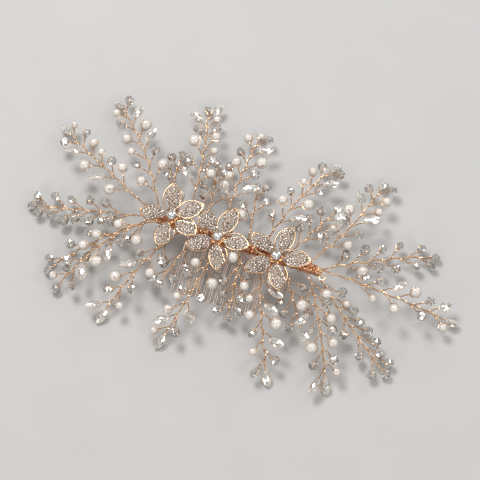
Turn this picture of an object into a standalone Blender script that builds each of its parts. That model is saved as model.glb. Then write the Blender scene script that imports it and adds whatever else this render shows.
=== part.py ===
# A bridal hair comb lying face up: wire teeth towards -Y, a wire-wound spine along X,
# three pave flowers over the spine and a fan of beaded wire sprays all round it.
# Metres, +Z up. The layout tables and the clearance rule are in millimetres.
import math
import random

import bmesh
import bpy
import numpy as np
from mathutils import Matrix, Vector

MM = 0.001

# The comb: a bundled wire spine, fine wire wound round it, and hairpin teeth.
SPINE_HEIGHT = 9.0
SPINE_RADIUS = 1.7
SPINE_ENDS = (-35.0, 37.9)
SPINE_SIDES = 12
WRAP_WIRE = 0.35
WRAP_GAP = 0.3
WRAP_PITCH = 1.45
WRAP_POINTS_A_TURN = 8
WRAPS = {"wrap_left": (-21.5, -10.5), "wrap_middle": (1.5, 13.0), "wrap_right": (26.5, 37.0)}
TOOTH_COUNT = 14
TOOTH_PITCH = 2.7
TOOTH_WIRE = 0.38
TOOTH_HALF_WIDTH = 0.62
TOOTH_START = (-3.1, 8.8)
TOOTH_CROWN = (-14.0, 9.6)
TOOTH_TIP = (-24.6, 0.64)
TOOTH_STEPS = 6
TOOTH_BEND_STEPS = 3

# The flowers: (x, y, z) of the hub, then (heading, length) of each petal.
FLOWERS = {
    "flower_left": (
        (-26.4, -0.4, 15.6),
        ((187, 13.6), (107, 15.2), (41, 14.4), (-20, 13.2), (-93, 14.6)),
    ),
    "flower_middle": (
        (-5.4, -2.3, 14.2),
        ((137, 14.0), (77, 15.2), (2, 13.6), (-72, 15.2), (-145, 14.0)),
    ),
    "flower_right": (
        (20.2, -2.4, 14.6),
        ((152, 14.2), (81, 15.0), (11, 14.6), (-68, 15.4), (-136, 14.4)),
    ),
}
PETAL_TILT = 5.0
PLATE_START = 2.6
PLATE_HALF_WIDTH = 2.4
PLATE_HALF_THICKNESS = 0.3
PLATE_BEVEL = 0.2
PLATE_SHORTER = 1.7
PLATE_FULLNESS = 1.0
FRAME_WIRE = 0.38
FRAME_NEAR_EDGE = 3.35
FRAME_FAR_EDGE = 4.2
FRAME_FULLNESS = 0.75
FRAME_START = 1.5
FRAME_DROP = 1.25
FRAME_RISE = 1.6
LEAF_STEPS = 6
HUB_RADIUS = 2.4
HUB_SIDES = 10
DISC_RADIUS = 2.8
DISC_SIDES = 12
HUB_THICKNESS = 0.8
POST_RADIUS = 0.9
POST_SIDES = 8
POST_OVERLAP = 0.3
CUP_RADIUS = 2.0
CUP_HEIGHT = 1.1
CUP_FOOT = 0.7  # the foot's share of the radius
CUP_LIFT = 0.35
CUP_SIDES = 12
# The claws: their number and thickness, then (share of the reach, height) at foot and tip.
CLAW_COUNT = 4
CLAW_WIRE = 0.3
CLAW_SIDES = 5
CLAW_FOOT = (0.86, 0.5)
CLAW_TIP = (1.08, 2.3)
# The centre stone: (radius, height) from its table over crown and girdle to its cut-off back.
STONE_RADIUS = 1.9
STONE_LIFT = 0.55
STONE_SIDES = 8
STONE_PROFILE = (
    (0.0, 0.6),
    (1.15, 0.6),
    (STONE_RADIUS, 0.1),
    (STONE_RADIUS, -0.1),
    (1.0, -0.25),
    (0.0, -0.25),
)

# Beads, by their letter in the sprays: P, p and o are pearls, C and c are cut crystal
# rondelles, and m is a marquise stone in a metal setting.
BEAD_RADIUS = {"P": 2.5, "p": 2.1, "o": 1.7, "C": 2.25, "c": 1.95, "m": 1.85}
MARQUISE_HALF_LENGTH = 3.5
MARQUISE_HALF_THICKNESS = 1.0
MARQUISE_FRONT = 0.62  # the front face's share of the outline
MARQUISE_POINT = 0.55  # the share of the full width that its ends keep
MARQUISE_SIDES = 8
PEARL_FACETS = (7, 4)
RONDELLE_FACETS = (6, 3)
RONDELLE_FLATTENING = 0.78

# Sprays: twisted wire stems with a beaded twig on alternate sides.
STEM_WIRE = 0.42
TWIG_WIRE = 0.32
TWIG_SIDES = 3
STEM_STEPS = 9
TWIG_ANGLE = 50.0
TWIG_REACH = {"P": 7.4, "p": 7.0, "o": 6.6, "C": 6.8, "c": 6.6, "m": 7.6}
TIP_CLEARANCE = 3.0
REACH_AT_TIP = 0.8
LEFT_SHIFT = 0.2
RIGHT_SHIFT = 0.7
CLEARANCE = 0.4
GROUND_CLEARANCE = 0.1
NECK = 0.3  # the share of a twig that may pass close to its own stem
PROBE_SPACING = 0.8
# How far the hand that twisted them strayed, seeded so that the layout never changes.
TWIG_SEED = 11
TWIG_ANGLE_VARIETY = 9.0
TWIG_REACH_VARIETY = 0.12
# The ways to move a twig that clashes, and how much a turn and a longer twig count against one.
TWIG_LIFTS = (0, 1, -1, 2, -2, 3, -3, 4, -4, 5, 6)
TWIG_TURNS = (0, 14, -14, 28, -28, 42, -42)
TWIG_FACTORS = (1.0, 1.2, 0.85, 1.4)
TURN_COST_STEP = 9
FACTOR_COST = 6
# Where the lines that stand for a petal run, as shares of its middle and of its edge's offset.
PETAL_CORE = 0.9
PETAL_LINE = 1.0
PETAL_INSIDE = {"far": 0.6, "near": 0.4}
PETAL_ROOT = (0.55, 0.9)
PETAL_END = (1.5, 0.8)
# (name, root x y z, heading, bend, length, crown and tip heights, bare length, left, right, tip)
SPRAYS = (
    ("spray_left_a", (-35.6, 1.4, 10.6), 160, -16, 58, 17.0, 3.0, 14, "PmPmc", "pcopco", "m"),
    ("spray_left_b", (-35.6, 0.3, 8.0), -168, -2, 52, 6.5, 2.6, 11, "cccCCcc", "ccccc", "c"),
    ("spray_left_c", (-35.6, -1.9, 7.6), -146, 22, 47, 7.0, 2.6, 4, "cccc", "cccc", "c"),
    ("spray_left_d", (-35.2, -1.6, 10.4), -134, 20, 49, 16.0, 2.6, 4, "PcmPmc", "pppco", "c"),
    ("spray_low_e", (-22.5, -3.4, 9.6), -116, 8, 47, 15.0, 2.6, 8, "Cpco", "cmPcm", "m"),
    ("spray_low_f", (-15.0, -3.4, 11.2), -108, 4, 25, 11.5, 8.0, 8, "cc", "cC", "c"),
    ("spray_low_g", (-4.6, -3.4, 11.0), -92, -18, 47, 17.0, 2.6, 5, "cPcmc", "pccopmo", "m"),
    ("spray_low_h", (5.0, -3.4, 11.0), -78, -6, 28, 12.5, 6.0, 5, "cpcC", "ccC", "c"),
    ("spray_low_i", (13.6, -3.4, 9.8), -72, 10, 50, 17.0, 2.6, 10, "mmPmc", "opcoc", "m"),
    ("spray_low_j", (24.0, -3.4, 9.8), -56, 2, 26, 10.0, 5.0, 6, "ccc", "ccc", ""),
    ("spray_right_k", (34.6, -3.2, 10.4), -58, -8, 47, 17.0, 2.6, 5, "pcpcpco", "PmmPcm", "m"),
    ("spray_right_l", (38.6, -1.6, 7.8), -43, 12, 49, 6.5, 2.6, 6, "CocccCcc", "cccc", "c"),
    ("spray_right_m", (38.6, 0.4, 10.6), -6, 10, 58, 17.0, 3.0, 13, "ccmPcm", "opco", "m"),
    ("spray_right_n", (38.6, 1.4, 7.8), 36, -13, 49, 6.5, 2.6, 6, "CCccc", "PCccc", "c"),
    ("spray_right_o", (34.2, 3.4, 10.0), 56, 30, 50, 16.0, 2.6, 6, "cmPmc", "pcmopc", "m"),
    ("spray_top_p", (24.0, 3.4, 9.0), 65, 2, 30, 9.0, 6.0, 6, "ccc", "cpc", "c"),
    ("spray_top_q", (13.0, 3.4, 10.0), 76, -8, 50, 16.0, 2.6, 8, "cpcopc", "mPcmc", "m"),
    ("spray_top_s", (6.0, 3.4, 9.0), 100, 4, 27, 9.0, 5.0, 10, "c", "cc", "c"),
    ("spray_top_r", (-5.6, 3.4, 10.0), 93, -4, 51, 17.0, 2.6, 12, "copcp", "mcPmc", "o"),
    ("spray_top_w", (-13.0, 3.4, 9.0), 98, 6, 32, 10.0, 4.0, 8, "ccc", "ppcc", "c"),
    ("spray_top_t", (-21.0, 3.4, 10.0), 93, 18, 57, 17.0, 2.6, 14, "mcPcm", "pcopcom", "c"),
    ("spray_top_v", (-29.6, 3.4, 9.0), 104, -8, 31, 9.0, 4.0, 14, "ccc", "c", "c"),
    ("spray_top_u", (-33.6, 3.4, 9.8), 120, 18, 58, 17.0, 2.6, 9, "pcopco", "PcmPmc", "m"),
)
# Single large pearls beside the petals: (name, root x y z, heading, length, tip height).
LONE_PEARLS = (
    ("pearl_low_middle", (1.5, -3.2, 11.4), -70, 4.5, 12.2),
    ("pearl_top_middle", (-1.6, 3.2, 10.8), 84, 9.0, 11.6),
    ("pearl_top_left", (-26.4, 3.2, 10.4), 100, 9.0, 11.2),
    ("pearl_low_right", (19.6, -3.2, 9.4), -78, 8.0, 9.6),
)

# The middle of the whole comb seen from above, which becomes its origin. Its height is
# counted from the surface it lies on.
MIDDLE = Vector((5.2, 5.3, 0.0))

GOLD = ((0.80, 0.47, 0.29), 1.0, 0.24)
COPPER = ((0.62, 0.27, 0.13), 1.0, 0.36)
PAVE = ((0.80, 0.74, 0.70), 0.3, 0.18)
PEARL = ((0.93, 0.87, 0.78), 0.0, 0.22)
BEADED_WIRE = ((0.88, 0.76, 0.62), 0.3, 0.25)
CRYSTAL = ((0.86, 0.88, 0.90), 0.1, 0.06)


def clear_scene():
    for thing in list(bpy.data.objects):
        bpy.data.objects.remove(thing)


def new_collection(name):
    collection = bpy.data.collections.new(name)
    bpy.context.scene.collection.children.link(collection)
    return collection


def principled(name, look):
    colour, metallic, roughness = look
    material = bpy.data.materials.new(name)
    material.use_nodes = True
    shader = material.node_tree.nodes["Principled BSDF"]
    shader.inputs["Base Color"].default_value = (*colour, 1.0)
    shader.inputs["Metallic"].default_value = metallic
    shader.inputs["Roughness"].default_value = roughness
    return material


def linked(name, data, collection):
    thing = bpy.data.objects.new(name, data)
    collection.objects.link(thing)
    return thing


def mesh_object(name, shape, collection):
    mesh = bpy.data.meshes.new(name)
    shape.to_mesh(mesh)
    shape.free()
    return linked(name, mesh, collection)


def wire_curve(name, points, radius, closed=False, sides=4):
    curve = bpy.data.curves.new(name, "CURVE")
    curve.dimensions = "3D"
    curve.bevel_depth = radius * MM
    curve.bevel_resolution = (sides - 4) // 2
    curve.use_fill_caps = True
    spline = curve.splines.new("POLY")
    spline.points.add(len(points) - 1)
    for place, point in zip(spline.points, points):
        place.co = (*(Vector(point) * MM), 1.0)
    spline.use_cyclic_u = closed
    return curve


def curve_as_mesh(name, curve, collection):
    # A curve's caps are loose, so they are welded on before any Boolean sees the mesh.
    guide = linked(name + "_guide", curve, collection)
    graph = bpy.context.evaluated_depsgraph_get()
    mesh = bpy.data.meshes.new_from_object(guide.evaluated_get(graph))
    thing = linked(name, mesh, collection)
    thing.matrix_world = guide.matrix_world
    bpy.data.objects.remove(guide)
    shape = bmesh.new()
    shape.from_mesh(mesh)
    bmesh.ops.remove_doubles(shape, verts=shape.verts, dist=1e-6)
    bmesh.ops.recalc_face_normals(shape, faces=shape.faces)
    shape.to_mesh(mesh)
    shape.free()
    return thing


def wire(name, points, radius, collection, closed=False, sides=4):
    return curve_as_mesh(name, wire_curve(name, points, radius, closed, sides), collection)


def aligned(start, direction):
    # A frame at start whose Z runs along the direction and whose Y stays level.
    along = Vector(direction).normalized()
    level = Vector((0.0, 0.0, 1.0)).cross(along)
    if level.length < 1e-4:
        level = Vector((0.0, 1.0, 0.0))
    level.normalize()
    across = level.cross(along)
    turn = Matrix((across, level, along)).transposed().to_4x4()
    return Matrix.Translation(Vector(start)) @ turn


def rod(name, start, end, radius, sides, collection):
    start, end = Vector(start), Vector(end)
    shape = bmesh.new()
    bmesh.ops.create_cone(
        shape,
        cap_ends=True,
        segments=sides,
        radius1=radius * MM,
        radius2=radius * MM,
        depth=(end - start).length * MM,
    )
    place = aligned((start + end) / 2 * MM, end - start)
    bmesh.ops.transform(shape, matrix=place, verts=shape.verts)
    return mesh_object(name, shape, collection)


def pearl_shape(radius):
    shape = bmesh.new()
    around, along_axis = PEARL_FACETS
    bmesh.ops.create_uvsphere(
        shape, u_segments=around, v_segments=along_axis, radius=radius * MM
    )
    return shape


def rondelle_shape(radius):
    # Three rings of facets, with the hole's axis level and across the twig.
    shape = bmesh.new()
    around, along_axis = RONDELLE_FACETS
    bmesh.ops.create_uvsphere(
        shape, u_segments=around, v_segments=along_axis, radius=radius * MM
    )
    bmesh.ops.scale(shape, vec=(1.0, 1.0, RONDELLE_FLATTENING), verts=shape.verts)
    bmesh.ops.rotate(shape, matrix=Matrix.Rotation(math.pi / 2, 3, "X"), verts=shape.verts)
    return shape


def marquise_shape(radius):
    # A pointed oval with a bevelled front, long side along the twig.
    shape = bmesh.new()
    bmesh.ops.create_cone(
        shape,
        cap_ends=True,
        segments=MARQUISE_SIDES,
        radius1=1.0,
        radius2=MARQUISE_FRONT,
        depth=2.0,
    )
    for corner in shape.verts:
        swell = abs(corner.co.y)
        corner.co.x *= MARQUISE_HALF_LENGTH * MM
        corner.co.y *= radius * MM * (MARQUISE_POINT + (1 - MARQUISE_POINT) * swell)
        corner.co.z *= MARQUISE_HALF_THICKNESS * MM
    upright = Matrix(((0, 0, -1), (0, 1, 0), (1, 0, 0)))
    bmesh.ops.transform(shape, matrix=upright.to_4x4(), verts=shape.verts)
    return shape


BEAD_SHAPES = {
    "P": pearl_shape,
    "p": pearl_shape,
    "o": pearl_shape,
    "C": rondelle_shape,
    "c": rondelle_shape,
    "m": marquise_shape,
}


def bead(name, letter, centre, direction, collection):
    shape = BEAD_SHAPES[letter](BEAD_RADIUS[letter])
    place = aligned(Vector(centre) * MM, direction)
    bmesh.ops.transform(shape, matrix=place, verts=shape.verts)
    return mesh_object(name, shape, collection)


def joined(name, pieces, look, parts, cutters):
    # One body from overlapping pieces: an exact union, kept as a plain mesh.
    base = pieces[0]
    operands = bpy.data.collections.new(name + "_operands")
    cutters.children.link(operands)
    for piece in pieces[1:]:
        operands.objects.link(piece)
    union = base.modifiers.new("union", "BOOLEAN")
    union.operation = "UNION"
    union.solver = "EXACT"
    union.operand_type = "COLLECTION"
    union.collection = operands
    graph = bpy.context.evaluated_depsgraph_get()
    mesh = bpy.data.meshes.new_from_object(base.evaluated_get(graph))
    mesh.name = name
    for piece in pieces:
        bpy.data.objects.remove(piece)
    bpy.data.collections.remove(operands)
    return finished(linked(name, mesh, parts), look)


def finished(thing, look):
    thing.data.materials.clear()
    thing.data.materials.append(look)
    thing.data.shade_smooth()
    thing.data.set_sharp_from_angle(angle=math.radians(35))
    thing.location = -MIDDLE * MM
    return thing


# The sprays' layout: where every stem, twig and bead goes, clear of everything else.


def stem_points(root, heading, bend, length, crown, tip):
    # The heading turns steadily and the height follows one arch from root to tip.
    x, y, z = root
    step = length / STEM_STEPS
    points = [Vector(root)]
    for i in range(STEM_STEPS):
        angle = math.radians(heading + bend * (i + 0.5) / STEM_STEPS)
        t = (i + 1) / STEM_STEPS
        x += step * math.cos(angle)
        y += step * math.sin(angle)
        height = (1 - t) ** 2 * z + 2 * t * (1 - t) * crown + t * t * tip
        points.append(Vector((x, y, height)))
    return points


def along(points, distance):
    # The point and the level direction at a distance from the root.
    for start, end in zip(points, points[1:]):
        level = Vector((end.x - start.x, end.y - start.y, 0.0))
        if distance <= level.length or end is points[-1]:
            return start.lerp(end, distance / level.length), level.normalized()
        distance -= level.length


class Obstacles:
    # Everything already placed, as thick line segments with an owner's name.

    def __init__(self):
        self.starts = []
        self.ends = []
        self.radii = []
        self.owners = []

    def add(self, owner, start, end, radius):
        self.starts.append(tuple(start))
        self.ends.append(tuple(end))
        self.radii.append(radius)
        self.owners.append(owner)

    def clear_of(self, probes, radius, gap, without=()):
        starts = np.array(self.starts)
        runs = np.array(self.ends) - starts
        keep = np.array([owner not in without for owner in self.owners])
        points = np.array([tuple(probe) for probe in probes])[:, None, :]
        size = np.maximum((runs * runs).sum(axis=1), 1e-9)
        share = ((points - starts) * runs).sum(axis=2) / size
        nearest = starts + np.clip(share, 0.0, 1.0)[:, :, None] * runs
        space = np.linalg.norm(points - nearest, axis=2) - np.array(self.radii) - radius
        return bool((space[:, keep] >= gap).all())


def changes():
    # Ways to move a twig that clashes, the smallest change first.
    tries = []
    for lift in TWIG_LIFTS:
        for turn in TWIG_TURNS:
            for reach in TWIG_FACTORS:
                cost = abs(lift) + abs(turn) / TURN_COST_STEP + FACTOR_COST * abs(reach - 1)
                tries.append((cost, lift, turn, reach))
    return sorted(tries)


CHANGES = changes()


def probes_between(start, end):
    count = max(2, math.ceil((end - start).length / PROBE_SPACING))
    return [start.lerp(end, (i + 0.5) / count) for i in range(count)]


def place_twig(name, letter, foot, forward, spread_angle, reach, obstacles):
    # The first change that leaves the bead and its twig clear, or None.
    radius = BEAD_RADIUS[letter]
    for _, lift, turn, factor in CHANGES:
        angle = math.radians(spread_angle + turn)
        spread = Matrix.Rotation(angle, 3, "Z") @ forward * reach * factor
        centre = foot + spread
        centre.z = max(foot.z + lift, radius + GROUND_CLEARANCE)
        neck = foot.lerp(centre, NECK)
        if letter == "m":
            arm = (centre - foot).normalized() * (MARQUISE_HALF_LENGTH - radius)
            body = [centre - arm, centre, centre + arm]
        else:
            body = [centre]
        rest = probes_between(neck, centre)
        if not obstacles.clear_of(body, radius, CLEARANCE):
            continue
        if obstacles.clear_of(rest, TWIG_WIRE, CLEARANCE, without=(name + "_stem",)):
            return centre
    return None


def petal_frame(flower, heading):
    hub = Vector(FLOWERS[flower][0])
    turn = Matrix.Rotation(math.radians(heading), 4, "Z")
    tilt = Matrix.Rotation(math.radians(-PETAL_TILT), 4, "Y")
    return Matrix.Translation(hub) @ turn @ tilt


def petal_lines(length):
    # The petal's middle and its two edges, which stand for the whole petal.
    mid = length / 2
    far = FRAME_FAR_EDGE - PETAL_INSIDE["far"]
    near = -FRAME_NEAR_EDGE + PETAL_INSIDE["near"]
    root_x, root_y = PETAL_ROOT
    end_x, end_y = PETAL_END
    yield (0.0, 0.0, 0.0), (length, 0.0, 0.0), PETAL_CORE
    for edge in (far, near):
        for y in (edge, edge / 2):
            yield (mid * root_x, y * root_y, 0.0), (mid, y, 0.0), PETAL_LINE
            yield (mid, y, 0.0), (mid * end_x, y * end_y, 0.0), PETAL_LINE


def fixed_obstacles():
    obstacles = Obstacles()
    low, high = SPINE_ENDS
    reach = SPINE_RADIUS + WRAP_GAP + 2 * WRAP_WIRE
    obstacles.add("spine", (low, 0, SPINE_HEIGHT), (high, 0, SPINE_HEIGHT), reach)
    for x in tooth_places():
        path = tooth_arc()
        for (y0, z0), (y1, z1) in zip(path, path[1:]):
            obstacles.add("teeth", (x, y0, z0), (x, y1, z1), TOOTH_HALF_WIDTH + TOOTH_WIRE)
    for flower, (hub, petals) in FLOWERS.items():
        x, y, z = hub
        obstacles.add(flower, (x, y, SPINE_HEIGHT), (x, y, z), HUB_RADIUS)
        for heading, length in petals:
            frame = petal_frame(flower, heading)
            for start, end, radius in petal_lines(length):
                obstacles.add(flower, frame @ Vector(start), frame @ Vector(end), radius)
    return obstacles


def lay_out_sprays():
    # Every spray's stem points and its beads as (letter, foot, centre).
    obstacles = fixed_obstacles()
    hand = random.Random(TWIG_SEED)
    stems = {}
    for name, root, heading, bend, length, crown, tip, _, _, _, _ in SPRAYS:
        stems[name] = stem_points(root, heading, bend, length, crown, tip)
    for name, root, heading, length, tip in LONE_PEARLS:
        stems[name] = stem_points(root, heading, 0.0, length, (root[2] + tip) / 2, tip)
    for name, points in stems.items():
        for start, end in zip(points, points[1:]):
            obstacles.add(name + "_stem", start, end, STEM_WIRE)
    beads = {name: [] for name in stems}

    def keep(name, letter, foot, centre):
        direction = (centre - foot).normalized()
        arm = direction * (MARQUISE_HALF_LENGTH - BEAD_RADIUS[letter] if letter == "m" else 0.0)
        obstacles.add(name + "_bead", centre - arm, centre + arm, BEAD_RADIUS[letter])
        obstacles.add(name + "_twig", foot.lerp(centre, NECK), centre, TWIG_WIRE)
        beads[name].append((letter, foot, centre))

    for name, *_ in LONE_PEARLS:
        keep(name, "P", stems[name][-2], stems[name][-1])
    for name, _, _, _, _, _, _, _, _, _, tip in SPRAYS:
        if tip:
            keep(name, tip, stems[name][-2], stems[name][-1])
    for name, _, _, _, length, _, _, bare, left, right, _ in SPRAYS:
        span = length - bare - TIP_CLEARANCE
        twigs = []
        for side, shift, letters in ((1, LEFT_SHIFT, left), (-1, RIGHT_SHIFT, right)):
            for i, letter in enumerate(letters):
                twigs.append((bare + span * (i + shift) / len(letters), side, letter))
        for distance, side, letter in sorted(twigs):
            foot, forward = along(stems[name], distance)
            taper = 1 - (1 - REACH_AT_TIP) * distance / length
            stray = hand.uniform(-TWIG_REACH_VARIETY, TWIG_REACH_VARIETY)
            reach = TWIG_REACH[letter] * taper * (1 + stray)
            angle = side * (TWIG_ANGLE + hand.uniform(-TWIG_ANGLE_VARIETY, TWIG_ANGLE_VARIETY))
            centre = place_twig(name, letter, foot, forward, angle, reach, obstacles)
            if centre is None:
                print("no room for", letter, "at", round(distance), "on", name)
            else:
                keep(name, letter, foot, centre)
    return stems, beads


def add_spray(name, points, beads, look, parts, cutters):
    pieces = [wire(name + "_stem", points, STEM_WIRE, cutters)]
    for i, (letter, foot, centre) in enumerate(beads):
        direction = centre - foot
        if centre is not points[-1]:
            twig = rod(f"{name}_twig_{i}", foot, centre, TWIG_WIRE, TWIG_SIDES, cutters)
            pieces.append(twig)
        pieces.append(bead(f"{name}_bead_{i}", letter, centre, direction, cutters))
    return joined(name, pieces, look, parts, cutters)


# The comb.


def tooth_places():
    half = (TOOTH_COUNT - 1) / 2
    return [(i - half) * TOOTH_PITCH for i in range(TOOTH_COUNT)]


def tooth_arc():
    # (y, z) down a tooth, a quadratic from its start over its crown to its tip.
    arc = []
    for i in range(TOOTH_STEPS + 1):
        t = i / TOOTH_STEPS
        weights = ((1 - t) ** 2, 2 * t * (1 - t), t * t)
        ends = (TOOTH_START, TOOTH_CROWN, TOOTH_TIP)
        arc.append(tuple(sum(w * end[k] for w, end in zip(weights, ends)) for k in (0, 1)))
    return arc


def add_tooth(name, x, look, parts):
    arc = tooth_arc()
    last, tip = arc[-2:]
    slope = Vector((tip[0] - last[0], tip[1] - last[1])).normalized()
    points = [(x - TOOTH_HALF_WIDTH, y, z) for y, z in arc]
    for i in range(1, TOOTH_BEND_STEPS):
        angle = math.pi * i / TOOTH_BEND_STEPS
        out = TOOTH_HALF_WIDTH * math.sin(angle)
        side = -TOOTH_HALF_WIDTH * math.cos(angle)
        points.append((x + side, tip[0] + slope.x * out, tip[1] + slope.y * out))
    points += [(x + TOOTH_HALF_WIDTH, y, z) for y, z in reversed(arc)]
    tooth = wire(name, points, TOOTH_WIRE, parts)
    return finished(tooth, look)


def add_spine(name, look, parts):
    low, high = SPINE_ENDS
    start = (low, 0, SPINE_HEIGHT)
    end = (high, 0, SPINE_HEIGHT)
    return finished(rod(name, start, end, SPINE_RADIUS, SPINE_SIDES, parts), look)


def add_wrap(name, low, high, look, parts):
    turns = (high - low) / WRAP_PITCH
    radius = SPINE_RADIUS + WRAP_GAP + WRAP_WIRE
    points = []
    for i in range(round(turns * WRAP_POINTS_A_TURN) + 1):
        angle = 2 * math.pi * i / WRAP_POINTS_A_TURN
        x = low + WRAP_PITCH * i / WRAP_POINTS_A_TURN
        points.append((x, radius * math.cos(angle), SPINE_HEIGHT + radius * math.sin(angle)))
    return finished(wire(name, points, WRAP_WIRE, parts), look)


# The flowers.


def leaf(start, length, upper, lower, fullness, steps):
    # A pointed leaf along +X, counter-clockwise, with its own width on each side.
    span = length - start
    swell = [math.sin(math.pi * i / steps) ** fullness for i in range(1, steps)]
    places = [start + span * i / steps for i in range(1, steps)]
    lower_edge = [(x, -lower * s) for x, s in zip(places, swell)]
    upper_edge = [(x, upper * s) for x, s in zip(places, swell)]
    return [(start, 0.0), *lower_edge, (length, 0.0), *reversed(upper_edge)]


def add_petal_plates(name, flower, look, parts, cutters):
    # Five thin leaf plates joined by a small disc under the centre stone.
    hub, petals = FLOWERS[flower]
    top = Vector(hub)
    half = Vector((0.0, 0.0, PLATE_HALF_THICKNESS))
    pieces = [rod(name + "_disc", top - half, top + half, DISC_RADIUS, DISC_SIDES, cutters)]
    for heading, length in petals:
        width = PLATE_HALF_WIDTH
        end = length - PLATE_SHORTER
        outline = leaf(PLATE_START, end, width, width, PLATE_FULLNESS, LEAF_STEPS)
        curve = bpy.data.curves.new(name, "CURVE")
        curve.dimensions = "2D"
        curve.fill_mode = "BOTH"
        curve.extrude = PLATE_HALF_THICKNESS * MM
        curve.bevel_depth = PLATE_BEVEL * MM
        curve.bevel_resolution = 0
        spline = curve.splines.new("POLY")
        spline.points.add(len(outline) - 1)
        for place, (x, y) in zip(spline.points, outline):
            place.co = (x * MM, y * MM, 0.0, 1.0)
        spline.use_cyclic_u = True
        plate = curve_as_mesh(f"{name}_plate_{heading}", curve, cutters)
        frame = petal_frame(flower, heading)
        frame.translation = frame.translation * MM
        plate.data.transform(frame)
        pieces.append(plate)
    return joined(name, pieces, look, parts, cutters)


def add_petal_frame(name, flower, look, parts, cutters):
    # A wire round each petal, wider on its left side, all joined to the hub disc.
    hub, petals = FLOWERS[flower]
    top = Vector(hub) - Vector((0.0, 0.0, FRAME_DROP - HUB_THICKNESS / 2))
    bottom = top - Vector((0.0, 0.0, HUB_THICKNESS))
    pieces = [rod(name + "_hub", bottom, top, HUB_RADIUS, HUB_SIDES, cutters)]
    spine_top = SPINE_HEIGHT + SPINE_RADIUS + WRAP_GAP * 2 + WRAP_WIRE * 2
    foot = Vector((hub[0], hub[1], spine_top))
    head = top - Vector((0, 0, POST_OVERLAP))
    pieces.append(rod(name + "_post", foot, head, POST_RADIUS, POST_SIDES, cutters))
    for heading, length in petals:
        frame = petal_frame(flower, heading)
        edges = (FRAME_FAR_EDGE, FRAME_NEAR_EDGE)
        points = []
        for x, y in leaf(FRAME_START, length, *edges, FRAME_FULLNESS, LEAF_STEPS):
            rise = min(1.0, max(0.0, (x - DISC_RADIUS) / FRAME_RISE))
            points.append(frame @ Vector((x, y, -FRAME_DROP * (1 - rise))))
        loop = wire(f"{name}_loop_{heading}", points, FRAME_WIRE, cutters, closed=True)
        pieces.append(loop)
    return joined(name, pieces, look, parts, cutters)


def add_cup(name, flower, look, parts, cutters):
    # The centre stone's cup, with four claws standing round its rim.
    x, y, z = FLOWERS[flower][0]
    base = z + PLATE_HALF_THICKNESS + CUP_LIFT
    shape = bmesh.new()
    bmesh.ops.create_cone(
        shape,
        cap_ends=True,
        segments=CUP_SIDES,
        radius1=CUP_RADIUS * CUP_FOOT * MM,
        radius2=CUP_RADIUS * MM,
        depth=CUP_HEIGHT * MM,
    )
    centre = Vector((x, y, base + CUP_HEIGHT / 2)) * MM
    bmesh.ops.translate(shape, vec=centre, verts=shape.verts)
    pieces = [mesh_object(name + "_cone", shape, cutters)]
    reach = CUP_RADIUS + CLAW_WIRE
    for i in range(CLAW_COUNT):
        angle = 2 * math.pi * (i + 0.5) / CLAW_COUNT
        ends = []
        for share, height in (CLAW_FOOT, CLAW_TIP):
            out = reach * share
            ends.append((x + out * math.cos(angle), y + out * math.sin(angle), base + height))
        pieces.append(rod(f"{name}_claw_{i}", *ends, CLAW_WIRE, CLAW_SIDES, cutters))
    return joined(name, pieces, look, parts, cutters)


def add_stone(name, flower, look, parts):
    # A round brilliant: flat table, crown, girdle and a cut-off pavilion.
    x, y, z = FLOWERS[flower][0]
    girdle = z + PLATE_HALF_THICKNESS + CUP_LIFT + CUP_HEIGHT + STONE_LIFT
    shape = bmesh.new()
    corners = [shape.verts.new((r * MM, 0.0, h * MM)) for r, h in STONE_PROFILE]
    for start, end in zip(corners, corners[1:]):
        shape.edges.new((start, end))
    stone = mesh_object(name, shape, parts)
    turn = stone.modifiers.new("turn", "SCREW")
    turn.steps = STONE_SIDES
    turn.render_steps = STONE_SIDES
    turn.use_merge_vertices = True
    turn.merge_threshold = 0.00001
    finished(stone, look)
    stone.location += Vector((x, y, girdle)) * MM
    return stone


def main():
    clear_scene()
    parts = new_collection("bridal_hair_comb")
    cutters = new_collection("cutters")
    gold = principled("rose_gold_wire", GOLD)
    copper = principled("copper_wrap_wire", COPPER)
    pave = principled("pave_stones", PAVE)
    crystal = principled("clear_crystal", CRYSTAL)
    pearl = principled("ivory_pearl", PEARL)
    beaded = principled("beaded_wire", BEADED_WIRE)

    add_spine("comb_spine", copper, parts)
    for name, (low, high) in WRAPS.items():
        add_wrap(name, low, high, copper, parts)
    for i, x in enumerate(tooth_places()):
        add_tooth(f"tooth_{i + 1:02d}", x, gold, parts)
    for flower in FLOWERS:
        add_petal_frame(flower + "_frame", flower, gold, parts, cutters)
        add_petal_plates(flower + "_pave", flower, pave, parts, cutters)
        add_cup(flower + "_cup", flower, gold, parts, cutters)
        add_stone(flower + "_stone", flower, crystal, parts)
    stems, beads = lay_out_sprays()
    for name, points in stems.items():
        look = pearl if name.startswith("pearl") else beaded
        add_spray(name, points, beads[name], look, parts, cutters)
    cutters.hide_render = True


main()
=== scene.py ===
import math
import random
import bmesh
import bpy
import numpy as np
from mathutils import Matrix, Vector


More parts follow.
